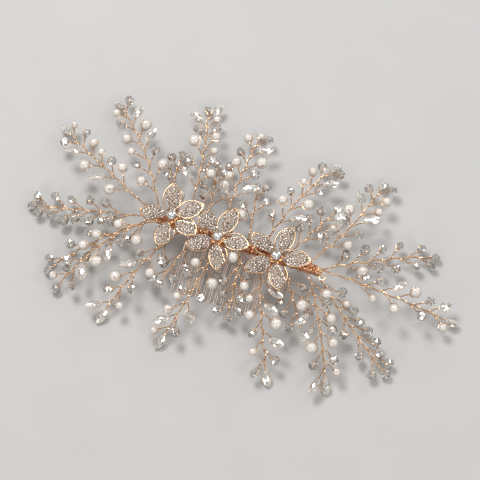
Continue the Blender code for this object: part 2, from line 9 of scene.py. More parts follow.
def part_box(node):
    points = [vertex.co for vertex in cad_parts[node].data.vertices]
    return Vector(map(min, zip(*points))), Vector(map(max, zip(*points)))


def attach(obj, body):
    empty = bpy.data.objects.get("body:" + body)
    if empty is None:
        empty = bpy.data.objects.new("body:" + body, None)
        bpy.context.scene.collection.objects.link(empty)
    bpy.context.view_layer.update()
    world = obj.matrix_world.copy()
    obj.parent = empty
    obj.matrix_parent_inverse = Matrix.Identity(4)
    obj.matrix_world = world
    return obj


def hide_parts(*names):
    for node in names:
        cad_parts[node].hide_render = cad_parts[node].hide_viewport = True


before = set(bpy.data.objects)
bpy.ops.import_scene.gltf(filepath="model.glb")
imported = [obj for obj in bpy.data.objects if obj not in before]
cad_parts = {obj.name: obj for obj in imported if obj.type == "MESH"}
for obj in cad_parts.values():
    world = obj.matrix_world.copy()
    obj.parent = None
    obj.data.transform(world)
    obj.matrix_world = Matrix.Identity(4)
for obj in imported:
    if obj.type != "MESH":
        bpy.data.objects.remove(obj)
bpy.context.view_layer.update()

mm = 0.001
up = Vector((0.0, 0.0, 1.0))

# The layout is in millimetres and follows the frame's own rules, so every bead meets its solid.
comb = {
    "height": 9.0,
    "ends": (-35.0, 37.9),
    "reach": 2.7,  # the winding's outside
    "toothCount": 14,
    "toothPitch": 2.7,
    "toothReach": 1.0,
    "toothStart": (-3.1, 8.8),
    "toothCrown": (-14.0, 9.6),
    "toothTip": (-24.6, 0.64),
    "toothSteps": 6,
}
# The middle of each flower, then the heading and length of its petals.
flowers = {
    "flower_left": (
        (-26.4, -0.4, 15.6),
        ((187, 13.6), (107, 15.2), (41, 14.4), (-20, 13.2), (-93, 14.6)),
    ),
    "flower_middle": (
        (-5.4, -2.3, 14.2),
        ((137, 14.0), (77, 15.2), (2, 13.6), (-72, 15.2), (-145, 14.0)),
    ),
    "flower_right": (
        (20.2, -2.4, 14.6),
        ((152, 14.2), (81, 15.0), (11, 14.6), (-68, 15.4), (-136, 14.4)),
    ),
}
petal = {
    "tilt": 5.0,
    "nearEdge": 3.35,
    "farEdge": 4.2,
    "hubRadius": 2.4,
    # the thick lines that stand for a petal in the layout
    "coreLine": 0.9,
    "sideLine": 1.0,
    "farInset": 0.6,
    "nearInset": 0.4,
    "lineRoot": (0.55, 0.9),
    "lineEnd": (1.5, 0.8),
}
# Bead letters: P, p and o are pearls, C and c cut crystals, and m a marquise stone in its setting.
beadRadius = {"P": 2.5, "p": 2.1, "o": 1.7, "C": 2.25, "c": 1.95, "m": 1.85}
marquiseHalf = 3.5
crystalFlat = 0.78
twigRules = {
    "steps": 9,
    "stemWire": 0.42,
    "twigWire": 0.32,
    "angle": 50.0,
    "angleVariety": 9.0,
    "reach": {"P": 7.4, "p": 7.0, "o": 6.6, "C": 6.8, "c": 6.6, "m": 7.6},
    "reachVariety": 0.12,
    "reachAtTip": 0.8,
    "tipClearance": 3.0,
    "clearance": 0.4,
    "floorGap": 0.1,
    "neckAt": 0.3,  # from here on a twig keeps clear of its stem
    "probeSpacing": 0.8,
    "leftStart": 0.2,  # where each side's first twig stands, in shares of its spacing
    "rightStart": 0.7,
    "seed": 11,
}
# What a twig tries where its bead would touch, the least change first.
twigTries = {
    "lifts": (0, 1, -1, 2, -2, 3, -3, 4, -4, 5, 6),
    "turns": (0, 14, -14, 28, -28, 42, -42),
    "stretches": (1.0, 1.2, 0.85, 1.4),
    "turnStep": 9,
    "stretchCost": 6,
}
# Name, root, heading, bend, length, crown and tip heights, bare length, left, right and tip beads.
sprays = (
    ("spray_left_a", (-35.6, 1.4, 10.6), 160, -16, 58, 17.0, 3.0, 14, "PmPmc", "pcopco", "m"),
    ("spray_left_b", (-35.6, 0.3, 8.0), -168, -2, 52, 6.5, 2.6, 11, "cccCCcc", "ccccc", "c"),
    ("spray_left_c", (-35.6, -1.9, 7.6), -146, 22, 47, 7.0, 2.6, 4, "cccc", "cccc", "c"),
    ("spray_left_d", (-35.2, -1.6, 10.4), -134, 20, 49, 16.0, 2.6, 4, "PcmPmc", "pppco", "c"),
    ("spray_low_e", (-22.5, -3.4, 9.6), -116, 8, 47, 15.0, 2.6, 8, "Cpco", "cmPcm", "m"),
    ("spray_low_f", (-15.0, -3.4, 11.2), -108, 4, 25, 11.5, 8.0, 8, "cc", "cC", "c"),
    ("spray_low_g", (-4.6, -3.4, 11.0), -92, -18, 47, 17.0, 2.6, 5, "cPcmc", "pccopmo", "m"),
    ("spray_low_h", (5.0, -3.4, 11.0), -78, -6, 28, 12.5, 6.0, 5, "cpcC", "ccC", "c"),
    ("spray_low_i", (13.6, -3.4, 9.8), -72, 10, 50, 17.0, 2.6, 10, "mmPmc", "opcoc", "m"),
    ("spray_low_j", (24.0, -3.4, 9.8), -56, 2, 26, 10.0, 5.0, 6, "ccc", "ccc", ""),
    ("spray_right_k", (34.6, -3.2, 10.4), -58, -8, 47, 17.0, 2.6, 5, "pcpcpco", "PmmPcm", "m"),
    ("spray_right_l", (38.6, -1.6, 7.8), -43, 12, 49, 6.5, 2.6, 6, "CocccCcc", "cccc", "c"),
    ("spray_right_m", (38.6, 0.4, 10.6), -6, 10, 58, 17.0, 3.0, 13, "ccmPcm", "opco", "m"),
    ("spray_right_n", (38.6, 1.4, 7.8), 36, -13, 49, 6.5, 2.6, 6, "CCccc", "PCccc", "c"),
    ("spray_right_o", (34.2, 3.4, 10.0), 56, 30, 50, 16.0, 2.6, 6, "cmPmc", "pcmopc", "m"),
    ("spray_top_p", (24.0, 3.4, 9.0), 65, 2, 30, 9.0, 6.0, 6, "ccc", "cpc", "c"),
    ("spray_top_q", (13.0, 3.4, 10.0), 76, -8, 50, 16.0, 2.6, 8, "cpcopc", "mPcmc", "m"),
    ("spray_top_s", (6.0, 3.4, 9.0), 100, 4, 27, 9.0, 5.0, 10, "c", "cc", "c"),
    ("spray_top_r", (-5.6, 3.4, 10.0), 93, -4, 51, 17.0, 2.6, 12, "copcp", "mcPmc", "o"),
    ("spray_top_w", (-13.0, 3.4, 9.0), 98, 6, 32, 10.0, 4.0, 8, "ccc", "ppcc", "c"),
    ("spray_top_t", (-21.0, 3.4, 10.0), 93, 18, 57, 17.0, 2.6, 14, "mcPcm", "pcopcom", "c"),
    ("spray_top_v", (-29.6, 3.4, 9.0), 104, -8, 31, 9.0, 4.0, 14, "ccc", "c", "c"),
    ("spray_top_u", (-33.6, 3.4, 9.8), 120, 18, 58, 17.0, 2.6, 9, "pcopco", "PcmPmc", "m"),
)
# Single large pearls: name, root, heading, length, tip height.
lonePearls = (
    ("pearl_low_middle", (1.5, -3.2, 11.4), -70, 4.5, 12.2),
    ("pearl_top_middle", (-1.6, 3.2, 10.8), 84, 9.0, 11.6),
    ("pearl_top_left", (-26.4, 3.2, 10.4), 100, 9.0, 11.2),
    ("pearl_low_right", (19.6, -3.2, 9.4), -78, 8.0, 9.6),
)


def stemPoints(root, heading, bend, length, crown, tip):
    # the heading turns steadily and the height follows one arch
    x, y, z = root
    steps = twigRules["steps"]
    points = [Vector(root)]
    for i in range(steps):
        angle = math.radians(heading + bend * (i + 0.5) / steps)
        t = (i + 1) / steps
        x += length / steps * math.cos(angle)
        y += length / steps * math.sin(angle)
        height = (1 - t) ** 2 * z + 2 * t * (1 - t) * crown + t * t * tip
        points.append(Vector((x, y, height)))
    return points


def along(points, distance):
    for start, end in zip(points, points[1:]):
        level = Vector((end.x - start.x, end.y - start.y, 0.0))
        if distance <= level.length or end is points[-1]:
            return start.lerp(end, distance / level.length), level.normalized()
        distance -= level.length


class Obstacles:
    # everything placed so far, as thick line segments with an owner's name
    def __init__(self):
        self.rods = []

    def add(self, owner, start, end, radius):
        self.rods.append((owner, tuple(start), tuple(end), radius))

    def clearOf(self, probes, radius, without=()):
        owners, starts, ends, radii = zip(*self.rods)
        starts = np.array(starts)
        runs = np.array(ends) - starts
        keep = np.array([owner not in without for owner in owners])
        points = np.array([tuple(probe) for probe in probes])[:, None, :]
        size = np.maximum((runs * runs).sum(axis=1), 1e-9)
        share = ((points - starts) * runs).sum(axis=2) / size
        nearest = starts + np.clip(share, 0.0, 1.0)[:, :, None] * runs
        space = np.linalg.norm(points - nearest, axis=2) - np.array(radii) - radius
        return bool((space[:, keep] >= twigRules["clearance"]).all())


def twigChanges():
    tries = []
    for lift in twigTries["lifts"]:
        for turn in twigTries["turns"]:
            for stretch in twigTries["stretches"]:
                cost = abs(lift) + abs(turn) / twigTries["turnStep"]
                cost += twigTries["stretchCost"] * abs(stretch - 1)
                tries.append((cost, lift, turn, stretch))
    return sorted(tries)


def placeTwig(name, letter, foot, forward, spread, reach, obstacles, changes):
    # the first change that leaves the bead and its twig clear
    radius = beadRadius[letter]
    for _, lift, turn, stretch in changes:
        way = Matrix.Rotation(math.radians(spread + turn), 3, "Z") @ forward * reach * stretch
        centre = foot + way
        centre.z = max(foot.z + lift, radius + twigRules["floorGap"])
        neck = foot.lerp(centre, twigRules["neckAt"])
        arm = (centre - foot).normalized() * (marquiseHalf - radius)
        body = [centre - arm, centre, centre + arm] if letter == "m" else [centre]
        count = max(2, math.ceil((centre - neck).length / twigRules["probeSpacing"]))
        rest = [neck.lerp(centre, (i + 0.5) / count) for i in range(count)]
        if not obstacles.clearOf(body, radius):
            continue
        if obstacles.clearOf(rest, twigRules["twigWire"], without=(name + "_stem",)):
            return centre
    return None


def petalFrame(flower, heading):
    turn = Matrix.Rotation(math.radians(heading), 4, "Z")
    tilt = Matrix.Rotation(math.radians(-petal["tilt"]), 4, "Y")
    return Matrix.Translation(Vector(flowers[flower][0])) @ turn @ tilt


def petalLines(length):
    mid = length / 2
    rootAt, rootWidth = petal["lineRoot"]
    endAt, endWidth = petal["lineEnd"]
    yield (0.0, 0.0, 0.0), (length, 0.0, 0.0), petal["coreLine"]
    for edge in (petal["farEdge"] - petal["farInset"], -petal["nearEdge"] + petal["nearInset"]):
        for y in (edge, edge / 2):
            yield (mid * rootAt, y * rootWidth, 0.0), (mid, y, 0.0), petal["sideLine"]
            yield (mid, y, 0.0), (mid * endAt, y * endWidth, 0.0), petal["sideLine"]


def toothPlaces():
    half = (comb["toothCount"] - 1) / 2
    return [(i - half) * comb["toothPitch"] for i in range(comb["toothCount"])]


def toothArc(steps):
    arc = []
    for i in range(steps + 1):
        t = i / steps
        weights = ((1 - t) ** 2, 2 * t * (1 - t), t * t)
        ends = (comb["toothStart"], comb["toothCrown"], comb["toothTip"])
        arc.append(tuple(sum(w * end[k] for w, end in zip(weights, ends)) for k in (0, 1)))
    return arc


def fixedObstacles():
    obstacles = Obstacles()
    low, high = comb["ends"]
    obstacles.add("spine", (low, 0, comb["height"]), (high, 0, comb["height"]), comb["reach"])
    path = toothArc(comb["toothSteps"])
    for x in toothPlaces():
        for (y0, z0), (y1, z1) in zip(path, path[1:]):
            obstacles.add("teeth", (x, y0, z0), (x, y1, z1), comb["toothReach"])
    for flower, ((x, y, z), petals) in flowers.items():
        obstacles.add(flower, (x, y, comb["height"]), (x, y, z), petal["hubRadius"])
        for heading, length in petals:
            place = petalFrame(flower, heading)
            for start, end, radius in petalLines(length):
                obstacles.add(flower, place @ Vector(start), place @ Vector(end), radius)
    return obstacles


def layOutSprays():
    # every stem's points, and its beads as letter, foot, centre and the stem's direction there
    obstacles = fixedObstacles()
    hand = random.Random(twigRules["seed"])
    changes = twigChanges()
    stems = {}
    for name, root, heading, bend, length, crown, tip, *_ in sprays:
        stems[name] = stemPoints(root, heading, bend, length, crown, tip)
    for name, root, heading, length, tip in lonePearls:
        stems[name] = stemPoints(root, heading, 0.0, length, (root[2] + tip) / 2, tip)
    for name, points in stems.items():
        for start, end in zip(points, points[1:]):
            obstacles.add(name + "_stem", start, end, twigRules["stemWire"])
    beads = {name: [] for name in stems}

    def keep(name, letter, foot, centre, forward):
        direction = (centre - foot).normalized()
        arm = direction * (marquiseHalf - beadRadius[letter] if letter == "m" else 0.0)
        obstacles.add(name + "_bead", centre - arm, centre + arm, beadRadius[letter])
        neck = foot.lerp(centre, twigRules["neckAt"])
        obstacles.add(name + "_twig", neck, centre, twigRules["twigWire"])
        beads[name].append((letter, foot, centre, forward))

    for name, *_ in lonePearls:
        keep(name, "P", stems[name][-2], stems[name][-1], None)
    for name, *_, tip in sprays:
        if tip:
            keep(name, tip, stems[name][-2], stems[name][-1], None)
    for name, _, _, _, length, _, _, bare, left, right, _ in sprays:
        span = length - bare - twigRules["tipClearance"]
        twigs = []
        sides = ((1, twigRules["leftStart"], left), (-1, twigRules["rightStart"], right))
        for side, first, letters in sides:
            for i, letter in enumerate(letters):
                twigs.append((bare + span * (i + first) / len(letters), side, letter))
        for distance, side, letter in sorted(twigs):
            foot, forward = along(stems[name], distance)
            taper = 1 - (1 - twigRules["reachAtTip"]) * distance / length
            stray = hand.uniform(-twigRules["reachVariety"], twigRules["reachVariety"])
            reach = twigRules["reach"][letter] * taper * (1 + stray)
            stray = hand.uniform(-twigRules["angleVariety"], twigRules["angleVariety"])
            spread = side * (twigRules["angle"] + stray)
            centre = placeTwig(name, letter, foot, forward, spread, reach, obstacles, changes)
            if centre is not None:
                keep(name, letter, foot, centre, forward)
    return stems, beads


stems, beads = layOutSprays()
spineLow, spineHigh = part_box("comb_spine")
spineMiddle = Vector((sum(comb["ends"]) / 2, 0.0, comb["height"]))
shift = (spineLow + spineHigh) / 2 - spineMiddle * mm
print("laid out", sum(len(row) for row in beads.values()), "beads on", len(stems), "stems")


def toFrame(point):
    return Vector(point) * mm + shift


class Value:
    # One socket of a node tree. Sums on it add Math nodes, and make adds any other node.
    def __init__(self, tree, socket=None):
        self.tree = tree
        self.socket = socket

    def make(self, kind, settings=None, values=None, out=0):
        node = self.tree.nodes.new(kind)
        for name, setting in (settings or {}).items():
            setattr(node, name, setting)
        for key, value in (values or {}).items():
            if isinstance(value, Value):
                self.tree.links.new(value.socket, node.inputs[key])
            else:
                node.inputs[key].default_value = value
        return Value(self.tree, node.outputs[out])

    def out(self, name):
        return Value(self.tree, self.socket.node.outputs[name])

    def math(self, operation, first, second=0.0):
        return self.make("ShaderNodeMath", {"operation": operation}, {0: first, 1: second})

    def vector(self, operation, first, second):
        return self.make("ShaderNodeVectorMath", {"operation": operation}, {0: first, 1: second})

    def scaled(self, factor):
        settings = {"operation": "SCALE"}
        return self.make("ShaderNodeVectorMath", settings, {0: self, "Scale": factor})

    def mix(self, low, high):
        # a colour between two colours, with this value as the factor
        low, high = (end if isinstance(end, Value) else (*end, 1.0) for end in (low, high))
        settings = {"data_type": "RGBA", "clamp_factor": True}
        return self.make("ShaderNodeMix", settings, {0: self, 6: low, 7: high}, out=2)

    def swing(self, weight):
        # a noise or a random number about nought
        return (self - 0.5) * weight

    def noise(self, scale, detail=2.0, rough=0.5):
        values = {"Vector": self, "Scale": scale, "Detail": detail, "Roughness": rough}
        return self.make("ShaderNodeTexNoise", {}, values)

    def __add__(self, other):
        return self.math("ADD", self, other)

    def __radd__(self, other):
        return self.math("ADD", other, self)

    def __sub__(self, other):
        return self.math("SUBTRACT", self, other)

    def __rsub__(self, other):
        return self.math("SUBTRACT", other, self)

    def __mul__(self, other):
        return self.math("MULTIPLY", self, other)

    def __rmul__(self, other):
        return self.math("MULTIPLY", other, self)

    def __truediv__(self, other):
        return self.math("DIVIDE", self, other)

    def __rtruediv__(self, other):
        return self.math("DIVIDE", other, self)


# Finishes. Every number or colour that varies over a surface is built from Object coordinates
# or from an attribute that the mesh carries, except the pearls' painted rim shade, which follows
# the viewing angle.
finishes = {
    "wireGold": {
        "deep": (0.60, 0.37, 0.21),
        "bright": (0.92, 0.67, 0.46),
        "rough": (0.26, 0.40),
        # the painted shade colour in the grooves between twisted strands
        "grooveShade": (0.22, 0.11, 0.05),
        "grooveShadeFrom": 0.14,
        "grooveShadeWidth": 0.15,
    },
    "flowerGold": {
        "deep": (0.48, 0.29, 0.16),
        "bright": (0.68, 0.48, 0.31),
        "rough": (0.15, 0.25),
    },
    "hubGold": {
        "deep": (0.60, 0.25, 0.10),
        "bright": (0.95, 0.55, 0.28),
        "rough": (0.12, 0.26),
    },
    "windingCopper": {
        "deep": (0.58, 0.24, 0.12),
        "bright": (1.0, 0.60, 0.36),
        "rough": (0.20, 0.36),
    },
    "toothWire": {
        "deep": (0.84, 0.66, 0.56),
        "bright": (1.0, 0.87, 0.78),
        "rough": (0.24, 0.36),
    },
}
metal = {
    "patchScale": 160.0,
    "patchWeight": 1.6,
    "grainScale": 2600.0,
    "grainWeight": 0.5,
    "middleTone": 0.55,
    "smearScale": 700.0,
    "grainStrength": 0.12,
    "grainHeight": 0.0001,
}
# deep and bright are the ends of the cut stones' painted facet reflections
cuts = {
    "cutCrystal": {
        "deep": (0.46, 0.40, 0.35),
        "bright": (1.0, 0.985, 0.955),
        "metal": 0.0,
        "clear": 0.62,
        "coat": 0.0,
    },
    "foiledStone": {
        "deep": (0.50, 0.455, 0.405),
        "bright": (1.0, 0.975, 0.935),
        "metal": 0.6,
        "clear": 0.0,
        "coat": 0.48,
    },
    "paveStone": {
        "deep": (0.28, 0.24, 0.205),
        "bright": (1.0, 0.96, 0.91),
        "metal": 0.5,
        "clear": 0.0,
        "coat": 0.3,
    },
    "brilliantStone": {
        "deep": (0.33, 0.31, 0.285),
        "bright": (1.0, 0.99, 0.97),
        "metal": 0.6,
        "clear": 0.0,
        "coat": 0.48,
    },
}
cutting = {
    "ior": 1.62,
    "coatRoughness": 0.02,
    "flawScale": 900.0,
    "facetReflectionWeight": 1.5,
    "tintWeight": 0.3,
    "flawWeight": 0.3,
    "middleTone": 0.62,
    "rough": (0.015, 0.05),
    "flashFrom": 0.62,  # facets whose number is above this flash like mirrors
    "flashWeight": 12.0,
}
nacreLook = {
    "coatRoughness": 0.07,
    "coatIor": 1.9,
    "deep": (0.64, 0.58, 0.51),
    "bright": (0.78, 0.735, 0.68),
    "cloudScale": 380.0,
    "cloudShare": 0.7,
    "tintShare": 0.5,
    "blush": (0.76, 0.65, 0.59),
    "blushScale": 210.0,
    "blushFrom": 0.45,
    "blushWeight": 1.2,
    # painted rim shade: the colour that the pearl's rim is darkened towards
    "edge": (0.42, 0.34, 0.26),
    "rimShadeWeight": 1.3,
    "rimShadeFrom": 0.25,
    "rough": 0.10,
    "skinScale": 1500.0,
    "skinStrength": 0.04,
    "skinHeight": 0.0001,
}
seat = {
    "deep": (0.10, 0.065, 0.045),
    "bright": (0.42, 0.31, 0.24),
    "grainScale": 1500.0,
    "topTone": 1.15,
    "grainWeight": 1.2,
    "rough": (0.45, 0.3),
    "grainStrength": 0.5,
    "grainHeight": 0.0002,
}
floorLook = {
    "deep": (0.50, 0.49, 0.48),
    "bright": (0.54, 0.53, 0.52),
    "rough": 0.85,
    "scale": 40.0,
}


def newFinish(name, constants):
    material = bpy.data.materials.new(name)
    material.use_nodes = True
    shader = material.node_tree.nodes["Principled BSDF"]
    for socket, value in constants.items():
        shader.inputs[socket].default_value = value
    place = Value(material.node_tree).make("ShaderNodeTexCoord", out="Object")
    return material, shader, place


def carried(place, name, out="Fac"):
    # what the mesh carries under this name
    return place.make("ShaderNodeAttribute", {"attribute_name": name}, out=out)


def link(shader, **sockets):
    for name, value in sockets.items():
        value.tree.links.new(value.socket, shader.inputs[name.replace("_", " ")])


def bumped(height, strength, distance):
    values = {"Height": height, "Strength": strength, "Distance": distance}
    return height.make("ShaderNodeBump", {}, values)


def metalFinish(name):
    look = finishes[name]
    material, shader, place = newFinish(name, {"Metallic": 1.0})
    patches = place.noise(metal["patchScale"], detail=3.0)
    grain = place.noise(metal["grainScale"], rough=0.6)
    tone = patches.swing(metal["patchWeight"]) + grain.swing(metal["grainWeight"])
    colour = (tone + metal["middleTone"]).mix(look["deep"], look["bright"])
    if "grooveShade" in look:
        # painted shade in the grooves of a twisted pair: darker where the wire lies nearest its
        # middle line
        values = {0: place, 1: carried(place, "middle", "Vector")}
        apart = place.make("ShaderNodeVectorMath", {"operation": "DISTANCE"}, values, out="Value")
        rise = (apart / mm - look["grooveShadeFrom"]) / look["grooveShadeWidth"]
        colour = rise.mix(look["grooveShade"], colour)
    smooth, rough = look["rough"]
    link(
        shader,
        Base_Color=colour,
        Roughness=place.noise(metal["smearScale"]) * (rough - smooth) + smooth,
        Normal=bumped(grain, metal["grainStrength"], metal["grainHeight"]),
    )
    return material


def pearlFinish():
    look = nacreLook
    constants = {
        "Coat Weight": 1.0,
        "Coat Roughness": look["coatRoughness"],
        "Coat IOR": look["coatIor"],
    }
    material, shader, place = newFinish("nacre", constants)
    tint = carried(place, "tint")
    clouds = place.noise(look["cloudScale"], detail=3.0)
    body = clouds * look["cloudShare"] + tint * look["tintShare"]
    body = body.mix(look["deep"], look["bright"])
    blush = place.noise(look["blushScale"], detail=1.0)
    body = ((blush - look["blushFrom"]) * look["blushWeight"]).mix(body, look["blush"])
    # painted shade on the pearl's rim: darker where the surface turns away from the viewer
    edge = place.make("ShaderNodeLayerWeight", out="Facing")
    skin = place.noise(look["skinScale"])
    link(
        shader,
        Base_Color=(edge * look["rimShadeWeight"] - look["rimShadeFrom"]).mix(body, look["edge"]),
        Roughness=clouds * look["rough"] + look["rough"],
        Normal=bumped(skin, look["skinStrength"], look["skinHeight"]),
    )
    return material


def cutFinish(name):
    look = cuts[name]
    constants = {
        "Transmission Weight": look["clear"],
        "Metallic": look["metal"],
        "IOR": cutting["ior"],
        "Coat Weight": look["coat"],
        "Coat Roughness": cutting["coatRoughness"],
    }
    material, shader, place = newFinish(name, constants)
    facet = carried(place, "facet")
    tint = carried(place, "tint")
    flaws = place.noise(cutting["flawScale"])
    # painted reflections: each facet's random number gives it a light or dark tone, and tint and
    # flaws vary it at random
    tone = facet.swing(cutting["facetReflectionWeight"]) + tint.swing(cutting["tintWeight"])
    tone = tone + flaws.swing(cutting["flawWeight"]) + cutting["middleTone"]
    smooth, rough = cutting["rough"]
    link(
        shader,
        Base_Color=tone.mix(look["deep"], look["bright"]),
        Roughness=flaws * rough + smooth,
    )
    if look["clear"]:
        link(shader, Metallic=(facet - cutting["flashFrom"]) * cutting["flashWeight"])
    return material


def seatFinish():
    # the pale metal that the small stones sit in, full of tiny raised grains, with painted shade
    # in the hollows between them
    material, shader, place = newFinish("stoneSeat", {"Metallic": 1.0})
    values = {"Vector": place, "Scale": seat["grainScale"]}
    grains = place.make("ShaderNodeTexVoronoi", {"feature": "F1"}, values, out="Distance")
    # painted shade: the colour darkens away from each grain's top as the bump sinks, so the
    # hollows are dark
    tone = seat["topTone"] - grains * seat["grainWeight"]
    smooth, rough = seat["rough"]
    link(
        shader,
        Base_Color=tone.mix(seat["deep"], seat["bright"]),
        Roughness=grains * rough + smooth,
        Normal=bumped(1.0 - grains, seat["grainStrength"], seat["grainHeight"]),
    )
    return material


def floorFinish():
    material, shader, place = newFinish("studioFloor", {"Roughness": floorLook["rough"]})
    tone = place.noise(floorLook["scale"], detail=4.0)
    link(shader, Base_Color=tone.mix(floorLook["deep"], floorLook["bright"]))
    return material


wireGold, flowerGold, hubGold, windingCopper, toothWire = map(metalFinish, finishes)
nacre = pearlFinish()
cutCrystal, foiledStone, paveStone, brilliantStone = map(cutFinish, cuts)
stoneSeat = seatFinish()
print("made", len(bpy.data.materials), "finishes")


# Node trees that grow the pieces. Each ends in Realize Instances and Set Material.
def newTree(name, inputs):
    tree = bpy.data.node_groups.new(name, "GeometryNodeTree")
    tree.interface.new_socket("Geometry", in_out="OUTPUT", socket_type="NodeSocketGeometry")
    for label, kind in {"Geometry": "Geometry", **inputs, "Finish": "Material"}.items():
        tree.interface.new_socket(label, in_out="INPUT", socket_type="NodeSocket" + kind)
    return tree, Value(tree).make("NodeGroupInput")


def closeTree(tree, start, shape):
    solid = start.make("GeometryNodeRealizeInstances", {}, {"Geometry": shape})
    values = {"Geometry": solid, "Material": start.out("Finish")}
    painted = start.make("GeometryNodeSetMaterial", {}, values)
    end = tree.nodes.new("NodeGroupOutput")
    tree.links.new(painted.socket, end.inputs[0])


def skinned(tree, start, curve):
    # a round wire along every curve, which ends the tree
    values = {"Resolution": start.out("Sides"), "Radius": start.out("Wire Radius")}
    ring = start.make("GeometryNodeCurvePrimitiveCircle", {}, values)
    values = {"Curve": curve, "Profile Curve": ring, "Fill Caps": True}
    closeTree(tree, start, start.make("GeometryNodeCurveToMesh", {}, values))
    return tree


def windingTree():
    # strands that wind round a path: a twisted pair, a bundle, or one wire wound as a coil
    inputs = {
        "Strands": "Int",
        "Pitch": "Float",
        "Spacing": "Float",
        "Wire Radius": "Float",
        "Step": "Float",
        "Unevenness": "Float",
        "Sides": "Int",
    }
    tree, start = newTree("windingWires", inputs)
    path = start.make("GeometryNodeMeshToCurve", {}, {"Mesh": start})
    values = {"Curve": path, "Length": start.out("Step")}
    even = start.make("GeometryNodeResampleCurve", {"mode": "LENGTH"}, values)
    values = {"Geometry": even, "Amount": start.out("Strands")}
    copies = start.make("GeometryNodeDuplicateElements", {"domain": "SPLINE"}, values)
    travelled = start.make("GeometryNodeSplineParameter", out="Length")
    place = start.make("GeometryNodeInputPosition")
    swayScale = 420.0
    sway = place.noise(swayScale, detail=1.0).swing(start.out("Unevenness"))
    phase = travelled / start.out("Pitch") + copies.out("Duplicate Index") / start.out("Strands")
    angle = (phase + sway) * math.tau
    normal = start.make("GeometryNodeInputNormal")
    tangent = start.make("GeometryNodeInputTangent")
    side = start.vector("CROSS_PRODUCT", tangent, normal)
    out = start.out("Spacing") * (sway + 1.0)
    across = normal.scaled(start.math("COSINE", angle) * out)
    offset = start.vector("ADD", across, side.scaled(start.math("SINE", angle) * out))
    # each strand keeps its path's middle line, which the wire finish uses for its painted groove
    # shade
    settings = {"data_type": "FLOAT_VECTOR", "domain": "POINT"}
    values = {"Geometry": copies, "Name": "middle", "Value": place}
    marked = start.make("GeometryNodeStoreNamedAttribute", settings, values)
    moved = start.make("GeometryNodeSetPosition", {}, {"Geometry": marked, "Offset": offset})
    return skinned(tree, start, moved)


def plainWireTree():
    tree, start = newTree("plainWires", {"Wire Radius": "Float", "Sides": "Int"})
    return skinned(tree, start, start.make("GeometryNodeMeshToCurve", {}, {"Mesh": start}))


def tinted(start, placed):
    # each instance carries its own random tint
    settings = {"data_type": "FLOAT"}
    chance = start.make("FunctionNodeRandomValue", settings, {"Seed": start.out("Seed")}, out=1)
    settings = {"data_type": "FLOAT", "domain": "INSTANCE"}
    values = {"Geometry": placed, "Name": "tint", "Value": chance}
    return start.make("GeometryNodeStoreNamedAttribute", settings, values)


def copied(start, points, source, turn, size):
    # a copy of the source object on every point
    shape = start.make("GeometryNodeObjectInfo", {}, {"Object": start.out(source)}, "Geometry")
    values = {"Points": points, "Instance": shape, "Rotation": turn, "Scale": size}
    return start.make("GeometryNodeInstanceOnPoints", {}, values)


def beadTree():
    # one bead on each point, with the size and turn that the point carries
    tree, start = newTree("beadsOnWires", {"Bead": "Object", "Seed": "Int"})
    points = start.make("GeometryNodeMeshToPoints", {}, {"Mesh": start})
    kind = "GeometryNodeInputNamedAttribute"
    size = start.make(kind, {"data_type": "FLOAT"}, {"Name": "size"})
    turn = start.make(kind, {"data_type": "FLOAT_VECTOR"}, {"Name": "turn"})
    turn = start.make("FunctionNodeEulerToRotation", {}, {"Euler": turn})
    closeTree(tree, start, tinted(start, copied(start, points, "Bead", turn, size)))
    return tree


def paveTree():
    # small stones scattered over a plate, close but never closer than their spacing
    inputs = {
        "Stone": "Object",
        "Spacing": "Float",
        "Density": "Float",
        "Size": "Float",
        "Lean": "Vector",
        "Seed": "Int",
    }
    tree, start = newTree("paveStones", inputs)
    values = {
        "Mesh": start,
        "Distance Min": start.out("Spacing"),
        "Density Max": start.out("Density"),
        "Seed": start.out("Seed"),
    }
    settings = {"distribute_method": "POISSON"}
    points = start.make("GeometryNodeDistributePointsOnFaces", settings, values)
    placed = copied(start, points, "Stone", points.out("Rotation"), start.out("Size"))
    settings = {"data_type": "FLOAT_VECTOR"}
    least = start.vector("MULTIPLY", start.out("Lean"), (-1.0, -1.0, 0.0))
    values = {0: least, 1: start.out("Lean"), "Seed": start.out("Seed")}
    lean = start.make("FunctionNodeRandomValue", settings, values)
    lean = start.make("FunctionNodeEulerToRotation", {}, {"Euler": lean})
    values = {"Instances": placed, "Rotation": lean, "Local Space": True}
    leaning = start.make("GeometryNodeRotateInstances", {}, values)
    closeTree(tree, start, tinted(start, leaning))
    return tree


windingWires = windingTree()
plainWires = plainWireTree()
beadsOnWires = beadTree()
paveStones = paveTree()
print("made", len(bpy.data.node_groups), "node trees")


def linked(name, mesh):
    thing = bpy.data.objects.new(name, mesh)
    bpy.context.scene.collection.objects.link(thing)
    return thing


def lineObject(chains, closed=False):
    # a mesh of edges only: one chain of points for each wire
    corners = []
    edges = []
    for chain in chains:
        first = len(corners)
        corners += [toFrame(point) for point in chain]
        edges += [(i, i + 1) for i in range(first, len(corners) - 1)]
        if closed:
            edges.append((len(corners) - 1, first))
    mesh = bpy.data.meshes.new("lines")
    mesh.from_pydata(corners, edges, [])
    return linked("lines", mesh)


def grown(source, tree, finish, settings):
    # the plain mesh that a node tree makes from a source mesh
    modifier = source.modifiers.new(tree.name, "NODES")
    modifier.node_group = tree
    settings = {**settings, "Finish": finish}
    for item in tree.interface.items_tree:
        if item.in_out == "INPUT" and item.name in settings:
            modifier[item.identifier] = settings[item.name]
    graph = bpy.context.evaluated_depsgraph_get()
    mesh = bpy.data.meshes.new_from_object(source.evaluated_get(graph))
    bpy.data.objects.remove(source)
    return mesh


